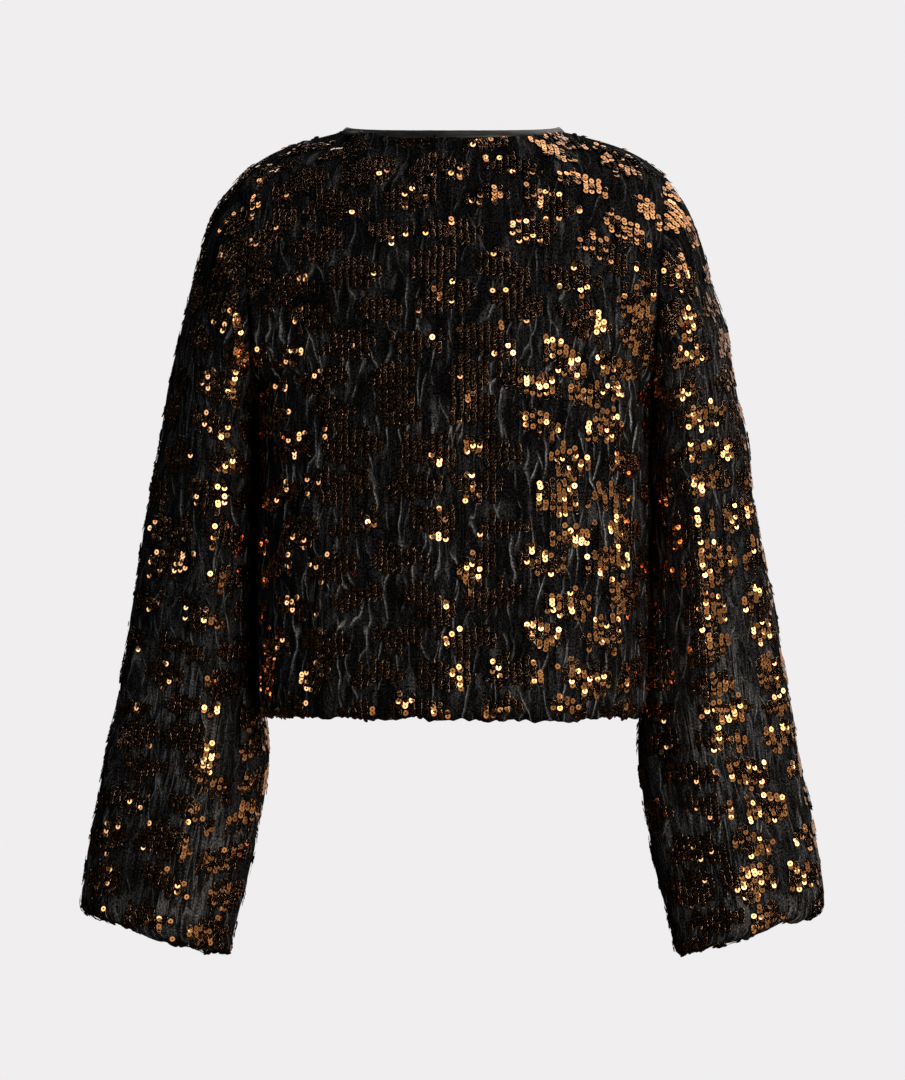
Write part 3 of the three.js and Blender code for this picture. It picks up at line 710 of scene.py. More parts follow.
def velvet_material():
    n = Nodes("velvet")
    sheen_towards_hem = n.attribute("sheen_towards_hem")
    soft = n.cloth_noise(85, 26, 4.0, 0.6)
    pile = n.cloth_noise(760, 560, 2.0, 0.6)
    # Thin wrinkles, used both as real bump and as painted sheen streaks.
    wrinkle_bump_and_sheen = n.eased(n.off_half(n.cloth_noise(170, 17, 1.5, 0.4)), 0.055, 0.0)
    # Painted sheen: grey smears of lying pile on bare cloth.
    sheen_smears = n.eased(n.cloth_noise(95, 27, 3.0), 0.57, 0.7)
    sheen_smears = n.times(sheen_smears, n.times(n.attribute("bare"), 0.2))
    # All the painted sheen together: crease highlights, smears and shimmer.
    painted_sheen = n.larger(velvet_sheen_lines(n, sheen_towards_hem), n.larger(sheen_smears, velvet_shimmer(n, sheen_towards_hem, wrinkle_bump_and_sheen)))
    shade, middle, sheen = (0.006, 0.0058, 0.0062), (0.0145, 0.014, 0.0152), (0.05, 0.05, 0.054)
    standing = n.ramp(soft, [(0.42, shade), (0.56, middle), (0.78, sheen)])
    grain = n.ranged(pile, 0.42, 0.64, 0.05, 3.3)
    # Painted sheen also lightens the pile's grain towards the hem and cuffs.
    grain = n.times(grain, n.math("ADD", 0.9, n.times(sheen_towards_hem, 0.5)))
    standing = n.add("ShaderNodeVectorMath", 0, {"operation": "SCALE"}, i0=standing, Scale=grain)
    speck = n.ranged(pile, 0.38, 0.62, 0.1, 1.0)
    # The painted sheen mixes in a pale grey.
    colour = n.mixed(n.times(painted_sheen, speck), standing, (0.9, 0.91, 0.96, 1))
    rough = n.ranged(pile, 0.3, 0.7, 0.6, 0.95)
    crease = n.math("SUBTRACT", soft, n.times(wrinkle_bump_and_sheen, 0.15))
    crushed = n.bump(crease, 0.7, 0.003, Normal=n.bump(pile, 0.8, 0.0012))
    return n.surface(
        Base_Color=colour, Roughness=rough, Normal=crushed, Specular_IOR_Level=0.0,
        Sheen_Weight=0.012, Sheen_Roughness=0.35, Sheen_Tint=(0.78, 0.8, 0.86, 1),
    )


# %% [markdown]
# ### Woven cloth, satin, foil, metal and thread
# The backing and the zip's tapes are plain weave, so two crossed waves stand for warp and weft. Satin shows
# its pulls as broad shine. The foil is a plain mirror whose own attribute, the distance from the disc's
# middle, paints the hole and the cut rim. Each colour comes from a ramp, so that no surface is one flat
# value.


# %% Woven cloth, satin, sequin foil, metal and thread
def woven_material(name, dark, light, threads, rough):
    n = Nodes(name)
    place = n.add("ShaderNodeMapping", i0=n.object_place(), i3=(threads, threads, threads))
    warp, weft = (
        n.add("ShaderNodeTexWave", 1, {"bands_direction": axis}, i0=place, Scale=1.0, Distortion=1.5)
        for axis in ("X", "Z")
    )
    weave = n.larger(warp, weft)
    colour = n.ramp(weave, [(0.2, dark), (0.9, light)])
    return n.surface(
        Base_Color=colour, Roughness=rough, Normal=n.bump(weave, 0.5, 0.0003), Sheen_Weight=0.1
    )


def satin_material():
    n = Nodes("satin")
    pull = n.object_noise(1.0, 3.0, (60, 60, 200))
    yarn = n.object_noise(1.0, 1.0, (400, 400, 5000))
    colour = n.ramp(pull, [(0.35, (0.03, 0.032, 0.034)), (0.7, (0.07, 0.076, 0.08))])
    rough = n.ranged(yarn, 0.0, 1.0, 0.28, 0.42)
    return n.surface(
        Base_Color=colour, Roughness=rough, Normal=n.bump(pull, 0.35, 0.0012), Sheen_Weight=0.08
    )


def sequin_material():
    n = Nodes("sequin")
    tint = n.attribute("tint")
    out = n.attribute("radial")
    coppers = [
        (0.0, (0.45, 0.195, 0.075)),
        (0.4, (0.73, 0.33, 0.12)),
        (0.75, (0.91, 0.43, 0.165)),
        (1.0, (0.975, 0.525, 0.235)),
    ]
    foil = n.eased(out, 0.62, 0.88)
    cut = n.eased(out, 2.1, 2.4, 0.0, 0.8)
    colour = n.mixed(cut, n.ramp(tint, coppers), (0.46, 0.36, 0.3, 1))
    colour = n.mixed(foil, (0.004, 0.004, 0.004, 1), colour)
    rim = n.ranged(out, 2.25, 2.65, 0.0, -0.26, "SMOOTHERSTEP")
    rim = n.times(rim, n.math("ADD", 0.35, tint))
    dome = n.times(n.times(out, out), -0.002)
    rough = n.ranged(n.object_noise(900.0, 2.0), 0.3, 0.7, 0.03, 0.08)
    rough = n.larger(rough, n.math("SUBTRACT", 0.9, foil))
    relief = n.bump(n.math("ADD", rim, dome), 1.0, MM)
    return n.surface(Base_Color=colour, Metallic=foil, Roughness=rough, Normal=relief)


def metal_material():
    n = Nodes("zip_metal")
    wear = n.object_noise(350.0, 5.0)
    colour = n.ramp(wear, [(0.35, (0.1, 0.083, 0.07)), (0.7, (0.28, 0.24, 0.2))])
    rough = n.ranged(wear, 0.0, 1.0, 0.28, 0.5)
    return n.surface(Base_Color=colour, Metallic=1.0, Roughness=rough, Normal=n.bump(wear, 0.15, 0.0002))


def thread_material():
    n = Nodes("thread")
    twist = n.object_noise(2500.0, 1.0)
    colour = n.ramp(twist, [(0.3, (0.008, 0.008, 0.009)), (0.7, (0.03, 0.03, 0.032))])
    return n.surface(Base_Color=colour, Roughness=0.6, Sheen_Weight=0.2)


# %% The materials
velvet = velvet_material()
backing = woven_material("backing", (0.008, 0.008, 0.009), (0.022, 0.021, 0.023), 1300, 0.85)
tape_cloth = woven_material("zip_tape_cloth", (0.006, 0.006, 0.007), (0.02, 0.02, 0.022), 2200, 0.8)
satin = satin_material()
sequin_foil = sequin_material()
metal = metal_material()
thread = thread_material()
print("materials:", [m.name for m in bpy.data.materials])

# %% [markdown]
# ## Cloth shells
# Each piece of cloth is a closed thin shell: the crushed velvet outside, its plain backing inside, and a
# cut edge between them. The backing doesn't need the fine mesh, so it takes every fourth point, and the
# edge joins the two.


# %% Functions that build a shell
INNER_STEP = 4


def picked(count, round_it):
    if round_it:
        return list(range(0, count, INNER_STEP))
    return sorted(set(range(0, count - 1, INNER_STEP)) | {count - 1})


def shell_faces(rows, cols, ri, ci, ring):
    """The outer faces come first, then the inner ones, then the edges that join them. Also says how many are
    outer ones. ri and ci are the rows and columns that the inner side keeps."""
    faces = []
    for i in range(rows - 1):
        for j in range(cols if ring else cols - 1):
            k = (j + 1) % cols
            faces.append((i * cols + j, i * cols + k, (i + 1) * cols + k, (i + 1) * cols + j))
    outer_count = len(faces)
    start, wide = rows * cols, len(ci)
    spaces = [(b, (b + 1) % wide) for b in range(wide if ring else wide - 1)]
    for a in range(len(ri) - 1):
        low, high = start + a * wide, start + (a + 1) * wide
        faces += [(low + b, high + b, high + c, low + c) for b, c in spaces]
    for a, i, up in ((0, 0, False), (len(ri) - 1, rows - 1, True)):
        for b, c in spaces:
            stop = ci[c] if c > b else cols
            run = [i * cols + (j % cols) for j in range(ci[b], stop + 1)]
            face = [start + a * wide + b, start + a * wide + c] + run[::-1]
            faces.append(tuple(face[::-1] if up else face))
    if not ring:
        for b, j, right in ((0, 0, False), (wide - 1, cols - 1, True)):
            for a in range(len(ri) - 1):
                run = [i * cols + j for i in range(ri[a], ri[a + 1] + 1)]
                face = [start + (a + 1) * wide + b, start + a * wide + b] + run
                faces.append(tuple(face[::-1] if right else face))
    return faces, outer_count


def lay_uv(mesh, panel, ri, ci, outer_count):
    """Takes the panel's own measure as the mesh's UV map. A tube's last column ends where its first began."""
    uv = np.stack([panel["u"], panel["v"]], axis=-1) * MM
    uv = np.concatenate([uv.reshape(-1, 2), uv[np.ix_(ri, ci)].reshape(-1, 2)])
    corner = np.zeros(len(mesh.loops), np.int32)
    mesh.loops.foreach_get("vertex_index", corner)
    uv = uv[corner]
    if panel["round"]:
        cols = panel["u"].shape[1]
        quad = np.arange(outer_count * 4) // 4
        at = corner[: len(quad)]
        closing = (quad % cols == cols - 1) & (at % cols == 0)
        uv[: len(quad)][closing, 0] = panel["closing"][at[closing] // cols] * MM
    mesh.uv_layers.new(name="UVMap").data.foreach_set("uv", uv.astype(np.float32).ravel())


def paint_points(mesh, name, values):
    """Writes a number on each of the mesh's first points, and 0 on the rest."""
    numbers = np.zeros(len(mesh.vertices), np.float32)
    numbers[: values.size] = values.ravel()
    mesh.attributes.new(name, "FLOAT", "POINT").data.foreach_set("value", numbers)


def pile_down(rows, ring):
    """How strong the broad painted sheen is, and how strong the painted crease highlights are, from the first
    row to the last.
    """
    if ring:
        down = np.linspace(0, 1, rows)
        crease_sheen_amount = 0.45 + 0.55 * smooth(down * 1.6)
    else:
        down = np.linspace(0.25, -0.2, rows)
        crease_sheen_amount = 0.16 + 0.84 * smooth(np.linspace(1.9, -0.25, rows))
    return 0.15 + 0.85 * smooth(down * 1.4), crease_sheen_amount


def build_shell(panel):
    rows, cols = panel["shown"].shape[:2]
    ring = panel["round"]
    ri, ci = picked(rows, False), picked(cols, ring)
    inner = panel["inner"][np.ix_(ri, ci)]
    points = np.concatenate([panel["shown"].reshape(-1, 3), inner.reshape(-1, 3)]) * MM
    faces, outer_count = shell_faces(rows, cols, ri, ci, ring)
    if panel["sign"] < 0:
        faces = [face[::-1] for face in faces]
    mesh = bpy.data.meshes.new(panel["name"] + "_cloth")
    mesh.from_pydata(points.tolist(), [], faces)
    lay_uv(mesh, panel, ri, ci, outer_count)
    # Painted sheen: lighter velvet towards the hem and cuffs, and crease highlights that fade towards the
    # top.
    sheen_towards_hem, crease_sheen_amount = pile_down(rows, ring)
    paint_points(mesh, "bare", panel["bare"])
    paint_points(mesh, "sheen_towards_hem", panel["bare"] * sheen_towards_hem[:, None])
    paint_points(mesh, "crease_sheen_amount", panel["bare"] * crease_sheen_amount[:, None])
    mesh.materials.append(velvet)
    mesh.materials.append(backing)
    slots = np.ones(len(mesh.polygons), np.int32)
    slots[:outer_count] = 0
    mesh.polygons.foreach_set("material_index", slots)
    mesh.polygons.foreach_set("use_smooth", np.ones(len(mesh.polygons), bool))
    mesh.update()
    piece = bpy.data.objects.new(panel["name"] + "_cloth", mesh)
    bpy.context.collection.objects.link(piece)
    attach(piece, "jacket")
    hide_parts(panel["name"])
    return piece


# %% [markdown]
# ### Each sheet as cut
# A closed shell is built for each panel.


cloth = {}
for panel in panels:
    cloth[panel["name"]] = build_shell(panel)

# %% [markdown]
# ## Sequins
# A sequin is a disc of metallised foil, 5 mm across, punched in the middle and very slightly cupped. A
# chain stitch through the middle holds each one, and each covers the top of the one below, like tiles on a
# roof, so all of them tip a little. The chains are laid down the cloth here as points. Geometry Nodes then
# puts a sequin on every point, tips each by its own small chance angle, and makes them real.


# %% Functions that lay chains of points down a panel
SHORTEST_RUN = 6  # in rows of the mesh
CHAIN_END = 1.2
MISSING = 0.015  # the share of sequins that have come off


def across_at(values, wanted, points):
    """Where each row of values reaches wanted: the points there, and which rows reach it."""
    count = values.shape[1]
    index = np.arange(count, dtype=float)
    at = np.array([np.interp(wanted, row, index, left=-1, right=-1) for row in values])
    ok = (at > 0.3) & (at < count - 1.3)
    low = np.clip(np.floor(at).astype(int), 0, count - 2)
    share = (at - low)[:, None]
    rows = np.arange(len(values))
    return points[rows, low] * (1 - share) + points[rows, low + 1] * share, ok


def chain_points(panel):
    """Each sequin's place, facing, direction down its chain, and tint."""
    seed, u = panel["seed"], panel["u"]
    facings = normals_of(panel["shown"], panel["round"], panel["sign"])
    grids = np.concatenate([panel["shown"], facings, panel["v"][..., None]], axis=-1)
    place, facing, down, tint = [], [], [], []
    for chain in range(int(np.floor(u.min() / CHAIN_PITCH)), int(np.ceil(u.max() / CHAIN_PITCH)) + 1):
        line, ok = across_at(u, (chain + 0.1 * scatter(chain, 0, seed + 60)) * CHAIN_PITCH, grids)
        rows = np.flatnonzero(ok)
        for run in np.split(rows, np.flatnonzero(np.diff(rows) > 1) + 1):
            if len(run) < SHORTEST_RUN:
                continue
            part = line[run]
            length = lengths(part[:, :3])
            start = SEQUIN_PITCH * (0.4 + scatter(chain, 3, seed + 61))
            at = np.arange(start, length[-1] - CHAIN_END, SEQUIN_PITCH)
            if not len(at):
                continue
            p = on_line(part, length, at)
            ahead, behind = (on_line(part[:, :3], length, at + far) for far in (1.5, -1.5))
            way = ahead - behind if panel["round"] else behind - ahead
            way /= np.linalg.norm(way, axis=1, keepdims=True)
            aside = np.cross(way, p[:, 3:6])
            number, v = np.arange(len(at)), p[:, 6]
            inside = island(np.full(len(at), chain * CHAIN_PITCH), v, seed) > 0
            keep = inside & (scatter(chain, number, seed + 62) > MISSING)
            sway = 1.1 * noise(np.full(len(at), chain * 0.31), v / 22, seed + 68)
            off = sway + SEQUIN_SHIFT * (2 * scatter(chain, number, seed + 64) - 1)
            p[:, :3] += aside * off[:, None]
            p[:, :3] += way * (SEQUIN_SHIFT * (2 * scatter(chain, number, seed + 65) - 1))[:, None]
            turn = [noise(np.full(len(at), chain * 0.45 + k), v / 13, seed + 66 + k) for k in (0, 1)]
            p[:, 3:6] += SEQUIN_TURN * (aside * turn[0][:, None] + way * turn[1][:, None])
            place.append(p[keep, :3])
            facing.append(p[keep, 3:6])
            down.append(way[keep])
            tint.append(scatter(chain, number, seed + 63)[keep])
    return [np.concatenate(x) for x in (place, facing, down, tint)]


def guide_mesh(place, facing, down, tint):
    mesh = bpy.data.meshes.new("guide")
    mesh.from_pydata((place * MM).tolist(), [], [])
    for key, values in (("facing", facing), ("down", down)):
        layer = mesh.attributes.new(key, "FLOAT_VECTOR", "POINT")
        layer.data.foreach_set("vector", values.astype(np.float32).ravel())
    paint_points(mesh, "tint", tint)
    return mesh


# %% [markdown]
# ### One sequin
# Fourteen sides are enough for a disc of 5 mm. The foil is nearly flat, so a sequin flashes as one piece,
# and its pressed rim turns down, so that a dark one still shows a small point of light. The rim is shaped
# in the shader from each point's distance to the middle, and so is the punched hole, where the black thread
# goes down.


# %% The sequin and the small parts that repeat
SEQUIN_SIDES, SEQUIN_CUP = 14, 0.03


def part_object(name, points, faces, material):
    mesh = bpy.data.meshes.new(name)
    mesh.from_pydata([tuple(v * MM for v in p) for p in points], [], faces)
    mesh.materials.append(material)
    mesh.update()
    return bpy.data.objects.new(name, mesh)


def sequin_object():
    points = [(0, 0, -SEQUIN_CUP)]
    for k in range(SEQUIN_SIDES):
        a = 2 * math.pi * k / SEQUIN_SIDES
        points.append((SEQUIN_RADIUS * math.cos(a), SEQUIN_RADIUS * math.sin(a), SEQUIN_CUP))
    faces = [(0, k + 1, (k + 1) % SEQUIN_SIDES + 1) for k in range(SEQUIN_SIDES)]
    sequin = part_object("one_sequin", points, faces, sequin_foil)
    paint_points(sequin.data, "radial", np.array([0.0] + [SEQUIN_RADIUS] * SEQUIN_SIDES))
    sequin.data.polygons.foreach_set("use_smooth", [True] * SEQUIN_SIDES)
    return sequin


def block_object(name, wide, long, thick, nip, material):
    """A small block, narrower at its top face: a stitch or a zip tooth."""
    points = []
    for z, k in ((-thick / 2, 1.0), (thick * 0.2, 1.0), (thick / 2, nip)):
        for x, y in ((-1, -1), (1, -1), (1, 1), (-1, 1)):
            points.append((x * wide / 2 * k, y * long / 2 * k, z))
    faces = [(3, 2, 1, 0), (8, 9, 10, 11)]
    for level in (0, 4):
        for k in range(4):
            m = (k + 1) % 4
            faces.append((level + k, level + m, level + 4 + m, level + 4 + k))
    return part_object(name, points, faces, material)


# %% [markdown]
# ### The node tree that repeats a part
# It lines a copy of the part up with the cloth's facing and with the chain's direction, lifts it off the
# cloth, tips it, and realizes it. Its inputs have names, so the same tree lays sequins, zip teeth and
# stitches.


# %% The node tree
REPEAT_INPUTS = [
    ("Points", "Geometry"),
    ("Part", "Object"),
    ("Lift", "Float"),
    ("Lean", "Float"),
    ("Tip", "Float"),
    ("Seed", "Int"),
    ("Material", "Material"),
]


def repeat_tree():
    tree = bpy.data.node_groups.new("repeat_along_points", "GeometryNodeTree")
    for name, kind in REPEAT_INPUTS:
        tree.interface.new_socket(name, in_out="INPUT", socket_type="NodeSocket" + kind)
    tree.interface.new_socket("Result", in_out="OUTPUT", socket_type="NodeSocketGeometry")

    def add(kind, settings=None, **inputs):
        return add_node(tree, kind, 0, settings, **inputs)

    def named(name):
        vector = {"data_type": "FLOAT_VECTOR"}
        return add_node(tree, "GeometryNodeInputNamedAttribute", "Attribute", vector, Name=name)

    def scaled(vector, scale):
        return add("ShaderNodeVectorMath", {"operation": "SCALE"}, i0=vector, Scale=scale)

    given = tree.nodes.new("NodeGroupInput").outputs
    facing = named("facing")
    upright = add("FunctionNodeAlignRotationToVector", {"axis": "Z"}, Vector=facing)
    round_facing = {"axis": "Y", "pivot_axis": "Z"}
    lined = add("FunctionNodeAlignRotationToVector", round_facing, Rotation=upright, Vector=named("down"))
    low, high = (scaled(corner, given["Tip"]) for corner in ((-1, -1, -0.3), (1, 1, 0.3)))
    vector = {"data_type": "FLOAT_VECTOR"}
    chance = add("FunctionNodeRandomValue", vector, i0=low, i1=high, Seed=given["Seed"])
    lean = add("ShaderNodeCombineXYZ", i0=given["Lean"])
    tipped = add("ShaderNodeVectorMath", {"operation": "ADD"}, i0=chance, i1=lean)
    tip = add("FunctionNodeEulerToRotation", i0=tipped)
    turn = add("FunctionNodeRotateRotation", {"rotation_space": "LOCAL"}, i0=lined, i1=tip)
    lift = scaled(facing, given["Lift"])
    lifted = add("GeometryNodeSetPosition", Geometry=given["Points"], Offset=lift)
    shape = add_node(tree, "GeometryNodeObjectInfo", "Geometry", Object=given["Part"])
    copies = add("GeometryNodeInstanceOnPoints", Points=lifted, Instance=shape, Rotation=turn)
    real = add("GeometryNodeRealizeInstances", i0=copies)
    painted = add("GeometryNodeSetMaterial", Geometry=real, Material=given["Material"])
    tree.links.new(painted, tree.nodes.new("NodeGroupOutput").inputs[0])
    return tree


REPEAT = repeat_tree()


def repeated(name, guide, part, material, lift, lean, tip, seed):
    """Runs the tree over a guide mesh and keeps the result as a plain mesh."""
    holder = bpy.data.objects.new(name, guide)
    bpy.context.collection.objects.link(holder)
    bpy.context.collection.objects.link(part)
    modifier = holder.modifiers.new("repeat", "NODES")
    modifier.node_group = REPEAT
    values = {
        "Part": part, "Lift": lift * MM, "Lean": lean, "Tip": tip, "Seed": seed, "Material": material
    }
    for item in REPEAT.interface.items_tree:
        if item.in_out == "INPUT" and item.name in values:
            modifier[item.identifier] = values[item.name]
    bpy.context.view_layer.update()
    evaluated = holder.evaluated_get(bpy.context.evaluated_depsgraph_get())
    mesh = bpy.data.meshes.new_from_object(evaluated)
    holder.modifiers.clear()
    holder.data = mesh
    mesh.name = name
    bpy.context.collection.objects.unlink(part)
    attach(holder, "jacket")
    print(name, len(mesh.polygons), "faces")
    return holder


# %% Sequins on every panel
SEQUIN_LIFT, SEQUIN_LEAN, SEQUIN_TIP = 1.1, 0.13, 0.16
for panel in panels:
    guide = guide_mesh(*chain_points(panel))
    hang = SEQUIN_LIFT, SEQUIN_LEAN, SEQUIN_TIP, panel["seed"]
    piece = repeated(panel["name"] + "_sequins", guide, sequin_object(), sequin_foil, *hang)

# %% [markdown]
# ## Neck binding
# A bias strip of black satin is folded over the neck edge and sewn through. It is a slim roll with soft
# diagonal pulls, standing just clear of the velvet. It follows the same neckline points as the panels.


# %% The binding
BINDING_SIDES = 16


def neckline():
    """The neck edge from one front over the back to the other, and the way the cloth faces along it."""
    back, left, right = panels[:3]
    n = CAD_NECK * FINE
    middle = columns - 1
    rows = []
    for key in ("base", "normal"):
        behind = back[key][-1, middle - n : middle + n + 1]
        rows.append(np.concatenate([right[key][-1, :n], behind, left[key][-1, :n][::-1]]))
    return rows


def binding_section():
    """Across the cloth's edge and out of the cloth, for each corner of the roll."""
    section = []
    for k in range(BINDING_SIDES):
        a = 2 * math.pi * k / BINDING_SIDES
        reach = np.sign(math.cos(a)) * abs(math.cos(a)) ** 0.75
        section.append((1.3 + 3.8 * reach, -WALL / 2 + 2.0 * math.sin(a)))
    return section


def build_binding():
    edge, out = neckline()
    for _ in range(6):
        out[1:-1] = (out[:-2] + 2 * out[1:-1] + out[2:]) / 4
    out /= np.linalg.norm(out, axis=1, keepdims=True)
    across = np.cross(out, np.gradient(edge, axis=0))
    across /= np.linalg.norm(across, axis=1, keepdims=True)
    inwards = np.stack([-edge[:, 0], -edge[:, 1], np.full(len(edge), 40.0)], axis=1)
    across *= np.sign((across * inwards).sum(axis=1))[:, None]
    run = lengths(edge)
    section, sides = binding_section(), BINDING_SIDES
    points, faces = [], []
    for i in range(len(edge)):
        for k, (a, b) in enumerate(section):
            pull = 0.16 * noise(np.array(run[i] / 5 + k * 0.35), np.array(k * 0.5), 77)
            side, rise = a + pull * 0.5, b * (1 + 0.1 * pull) + pull * 0.4
            points.append(edge[i] + across[i] * side + out[i] * rise)
    for i in range(len(edge) - 1):
        for k in range(sides):
            m = (k + 1) % sides
            faces.append((i * sides + k, i * sides + m, (i + 1) * sides + m, (i + 1) * sides + k))
    faces.append(tuple(range(sides))[::-1])
    faces.append(tuple((len(edge) - 1) * sides + k for k in range(sides)))
    piece = part_object("neck_binding_satin", points, faces, satin)
    piece.data.polygons.foreach_set("use_smooth", np.ones(len(faces), bool))
    bpy.context.collection.objects.link(piece)
    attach(piece, "jacket")
    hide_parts("neck_binding")
    return piece, float(run[-1]) * MM


def face_outwards(piece):
    """Turns a closed mesh the right way out if its volume comes out below zero."""
    mesh = piece.data
    mesh.calc_loop_triangles()
    p = np.zeros(len(mesh.vertices) * 3, np.float32)
    mesh.vertices.foreach_get("co", p)
    t = np.zeros(len(mesh.loop_triangles) * 3, np.int32)
    mesh.loop_triangles.foreach_get("vertices", t)
    p, t = p.reshape(-1, 3), t.reshape(-1, 3)
    volume = (p[t[:, 0]] * np.cross(p[t[:, 1]], p[t[:, 2]])).sum() / 6
    if volume < 0:
        mesh.flip_normals()
    return round(float(abs(volume)) * 1e6, 2)


# %% The binding, and a look at every shell's volume
binding, binding_length = build_binding()
print("binding", face_outwards(binding), "cubic centimetres,", round(binding_length, 3), "m long")
for piece in cloth.values():
    print(piece.name, face_outwards(piece), "cubic centimetres")

# %% [markdown]
# ## The zip
# The front is hidden in the photograph. A bomber jacket closes with a zip, so it has a plain one: metal
# teeth clamped on two woven tapes that are sewn inside the front edges, with a stitched line beside each
# edge. The CAD tapes, box, stops, slider and pull tab are the right shape already and take their materials
# here. Single teeth stand in for the CAD's bar of teeth. Each tape's inner edge is a cord that the teeth
# grip, and it is added too, so no light comes through between tape and teeth.


# %% Zip teeth, cords, stitches and metal
TOOTH_PITCH, TOOTH_DEPTH, TOOTH_ASIDE = 1.25, 2.0, 0.75
STITCH_PITCH, STITCH_MARGIN = 3.2, 5.0
# distance from the centre line, and height over the front's own line, round one cord
CORD_SECTION = [(0.2, -2.75), (0.9, -2.6), (3.7, -2.7), (3.7, -3.3), (0.9, -3.4), (0.2, -3.25)]


def along_centre_front(start, pitch):
    """Evenly spaced points up the centre front, the way up the cloth, and the way out of it."""
    line = front_half[:, 0]
    run = lengths(line)
    at = np.arange(start, run[-1], pitch)
    way = on_line(line, run, at + 1) - on_line(line, run, at - 1)
    out = np.stack([0 * at, -way[:, 2], way[:, 1]], axis=1)
    return on_line(line, run, at), way, out / np.linalg.norm(out, axis=1, keepdims=True)


def between(p, box, margin):
    """Which points lie between the foot and the top of a box, with a margin at both ends."""
    low, high = box
    return (p[:, 2] > low[2] / MM + margin) & (p[:, 2] < high[2] / MM - margin)


def build_teeth():
    p, way, out = along_centre_front(10, TOOTH_PITCH)
    ok = between(p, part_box("zip_teeth"), 1)
    side = np.where(np.arange(len(p)) % 2 == 0, 1.0, -1.0)
    p = p - out * TOOTH_DEPTH
    p[:, 0] += side * TOOTH_ASIDE
    guide = guide_mesh(p[ok], out[ok], way[ok], side[ok] * 0.5 + 0.5)
    tooth = block_object("one_tooth", 4.3, 1.0, 2.4, 0.8, metal)
    piece = repeated("zip_teeth_single", guide, tooth, metal, 0, 0, 0, 5)
    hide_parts("zip_teeth")


def build_cords():
    p, _, out = along_centre_front(1, 3.0)
    ok = between(p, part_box("zip_tape_left"), 0)
    p, out = p[ok], out[ok]
    points, faces = [], []
    n = len(CORD_SECTION)
    for side in (1, -1):
        first = len(points)
        for k in range(len(p)):
            points += [p[k] + out[k] * deep + np.array([side * x, 0, 0]) for x, deep in CORD_SECTION]
        for k in range(len(p) - 1):
            for m in range(n):
                a, b = first + k * n + m, first + k * n + (m + 1) % n
                faces.append((a, b, b + n, a + n)[::side])
        end = first + (len(p) - 1) * n
        faces.append(tuple(range(first, first + n))[::-side])
        faces.append(tuple(range(end, end + n))[::side])
    piece = part_object("zip_cords", points, faces, tape_cloth)
    bpy.context.collection.objects.link(piece)
    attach(piece, "jacket")
    return piece


def build_stitches():
    place, facing, down = [], [], []
    for panel in panels[1:3]:
        normal = normals_of(panel["base"], False, panel["sign"])
        grids = np.concatenate([panel["shown"], normal], axis=-1)
        line, ok = across_at(panel["u"], STITCH_MARGIN, grids)
        line = line[ok]
        run = lengths(line[:, :3])
        at = np.arange(8, run[-1] - 6, STITCH_PITCH)
        p, q = on_line(line, run, at), on_line(line[:, :3], run, at + 1)
        place.append(p[:, :3])
        facing.append(p[:, 3:])
        down.append(q - p[:, :3])
    place, facing, down = (np.concatenate(x) for x in (place, facing, down))
    guide = guide_mesh(place, facing, down, np.zeros(len(place)))
    stitch = block_object("one_stitch", 0.55, 2.4, 0.5, 0.5, thread)
    piece = repeated("front_edge_stitches", guide, stitch, thread, 0.15, 0, 0.04, 9)


# %% The zip's pieces
build_teeth()
print("cords", face_outwards(build_cords()), "cubic centimetres")
build_stitches()
METAL_NODES = "zip_box", "zip_stop_left", "zip_stop_right", "zip_slider", "zip_pull"
for name in ("zip_tape_left", "zip_tape_right", *METAL_NODES):
    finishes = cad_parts[name].data.materials
    finishes.clear()
    finishes.append(metal if name in METAL_NODES else tape_cloth)

# %% [markdown]
# ## Studio
# The jacket is shown from behind against a plain pale ground. Sequins are little mirrors, so what they show
# is the room. It is nearly black, which keeps most discs dark. Broad faint warm boxes on the right give a
# copper disc wherever the cloth turns that way. Small bright ones inside them give the few white-gold
# flashes. Boxes above and behind light the shoulders, where discs are seen edge on. The floor is pale, far
# below, and throws no light.


# %% Floor, room and lights
FLOOR_SIDES, FLOOR_RADIUS, FLOOR_LEVEL = 64, 4, -1.35
LIT_POINT = np.array([0, 0, -0.35])
GLINT, COPPER, DAYLIGHT = (1.0, 0.95, 0.86), (1.0, 0.8, 0.55), (1.0, 0.93, 0.88)
# name, azimuth, elevation, distance, width, height, power, colour
LIGHTS = [
    ("flash", 29, 9, 2.6, 0.6, 1.0, 9.6, GLINT),
    ("flash_low", 18, -14, 2.6, 0.5, 0.5, 4.2, GLINT),
    ("flash_side", 80, 18, 2.4, 0.3, 0.9, 4.4, GLINT),
    ("flash_top", 12, 62, 2.4, 0.4, 0.4, 1.5, (1.0, 0.95, 0.9)),
    ("key", 34, 4, 2.8, 1.3, 1.9, 3.2, COPPER),
    ("key_side", 76, 6, 2.8, 1.1, 1.8, 1.9, COPPER),
    ("shoulder", 98, 54, 2.4, 1.8, 1.8, 12, DAYLIGHT),
    ("shoulder_back", 142, 46, 2.6, 1.5, 1.5, 9, DAYLIGHT),
    ("shoulder_left", -116, 44, 2.6, 0.9, 0.8, 3.2, DAYLIGHT),
    ("under", 24, -42, 1.3, 0.7, 0.4, 0.6, (1.0, 0.82, 0.6)),
    ("left_fill", -70, 8, 3.0, 0.3, 1.2, 2.6, (0.9, 0.95, 1.0)),
    ("behind", 148, 4, 3.0, 1.4, 2.2, 5, DAYLIGHT),
    ("front_fill", 180, 20, 3.0, 1.4, 1.4, 9, (1.0, 0.98, 0.95)),
]


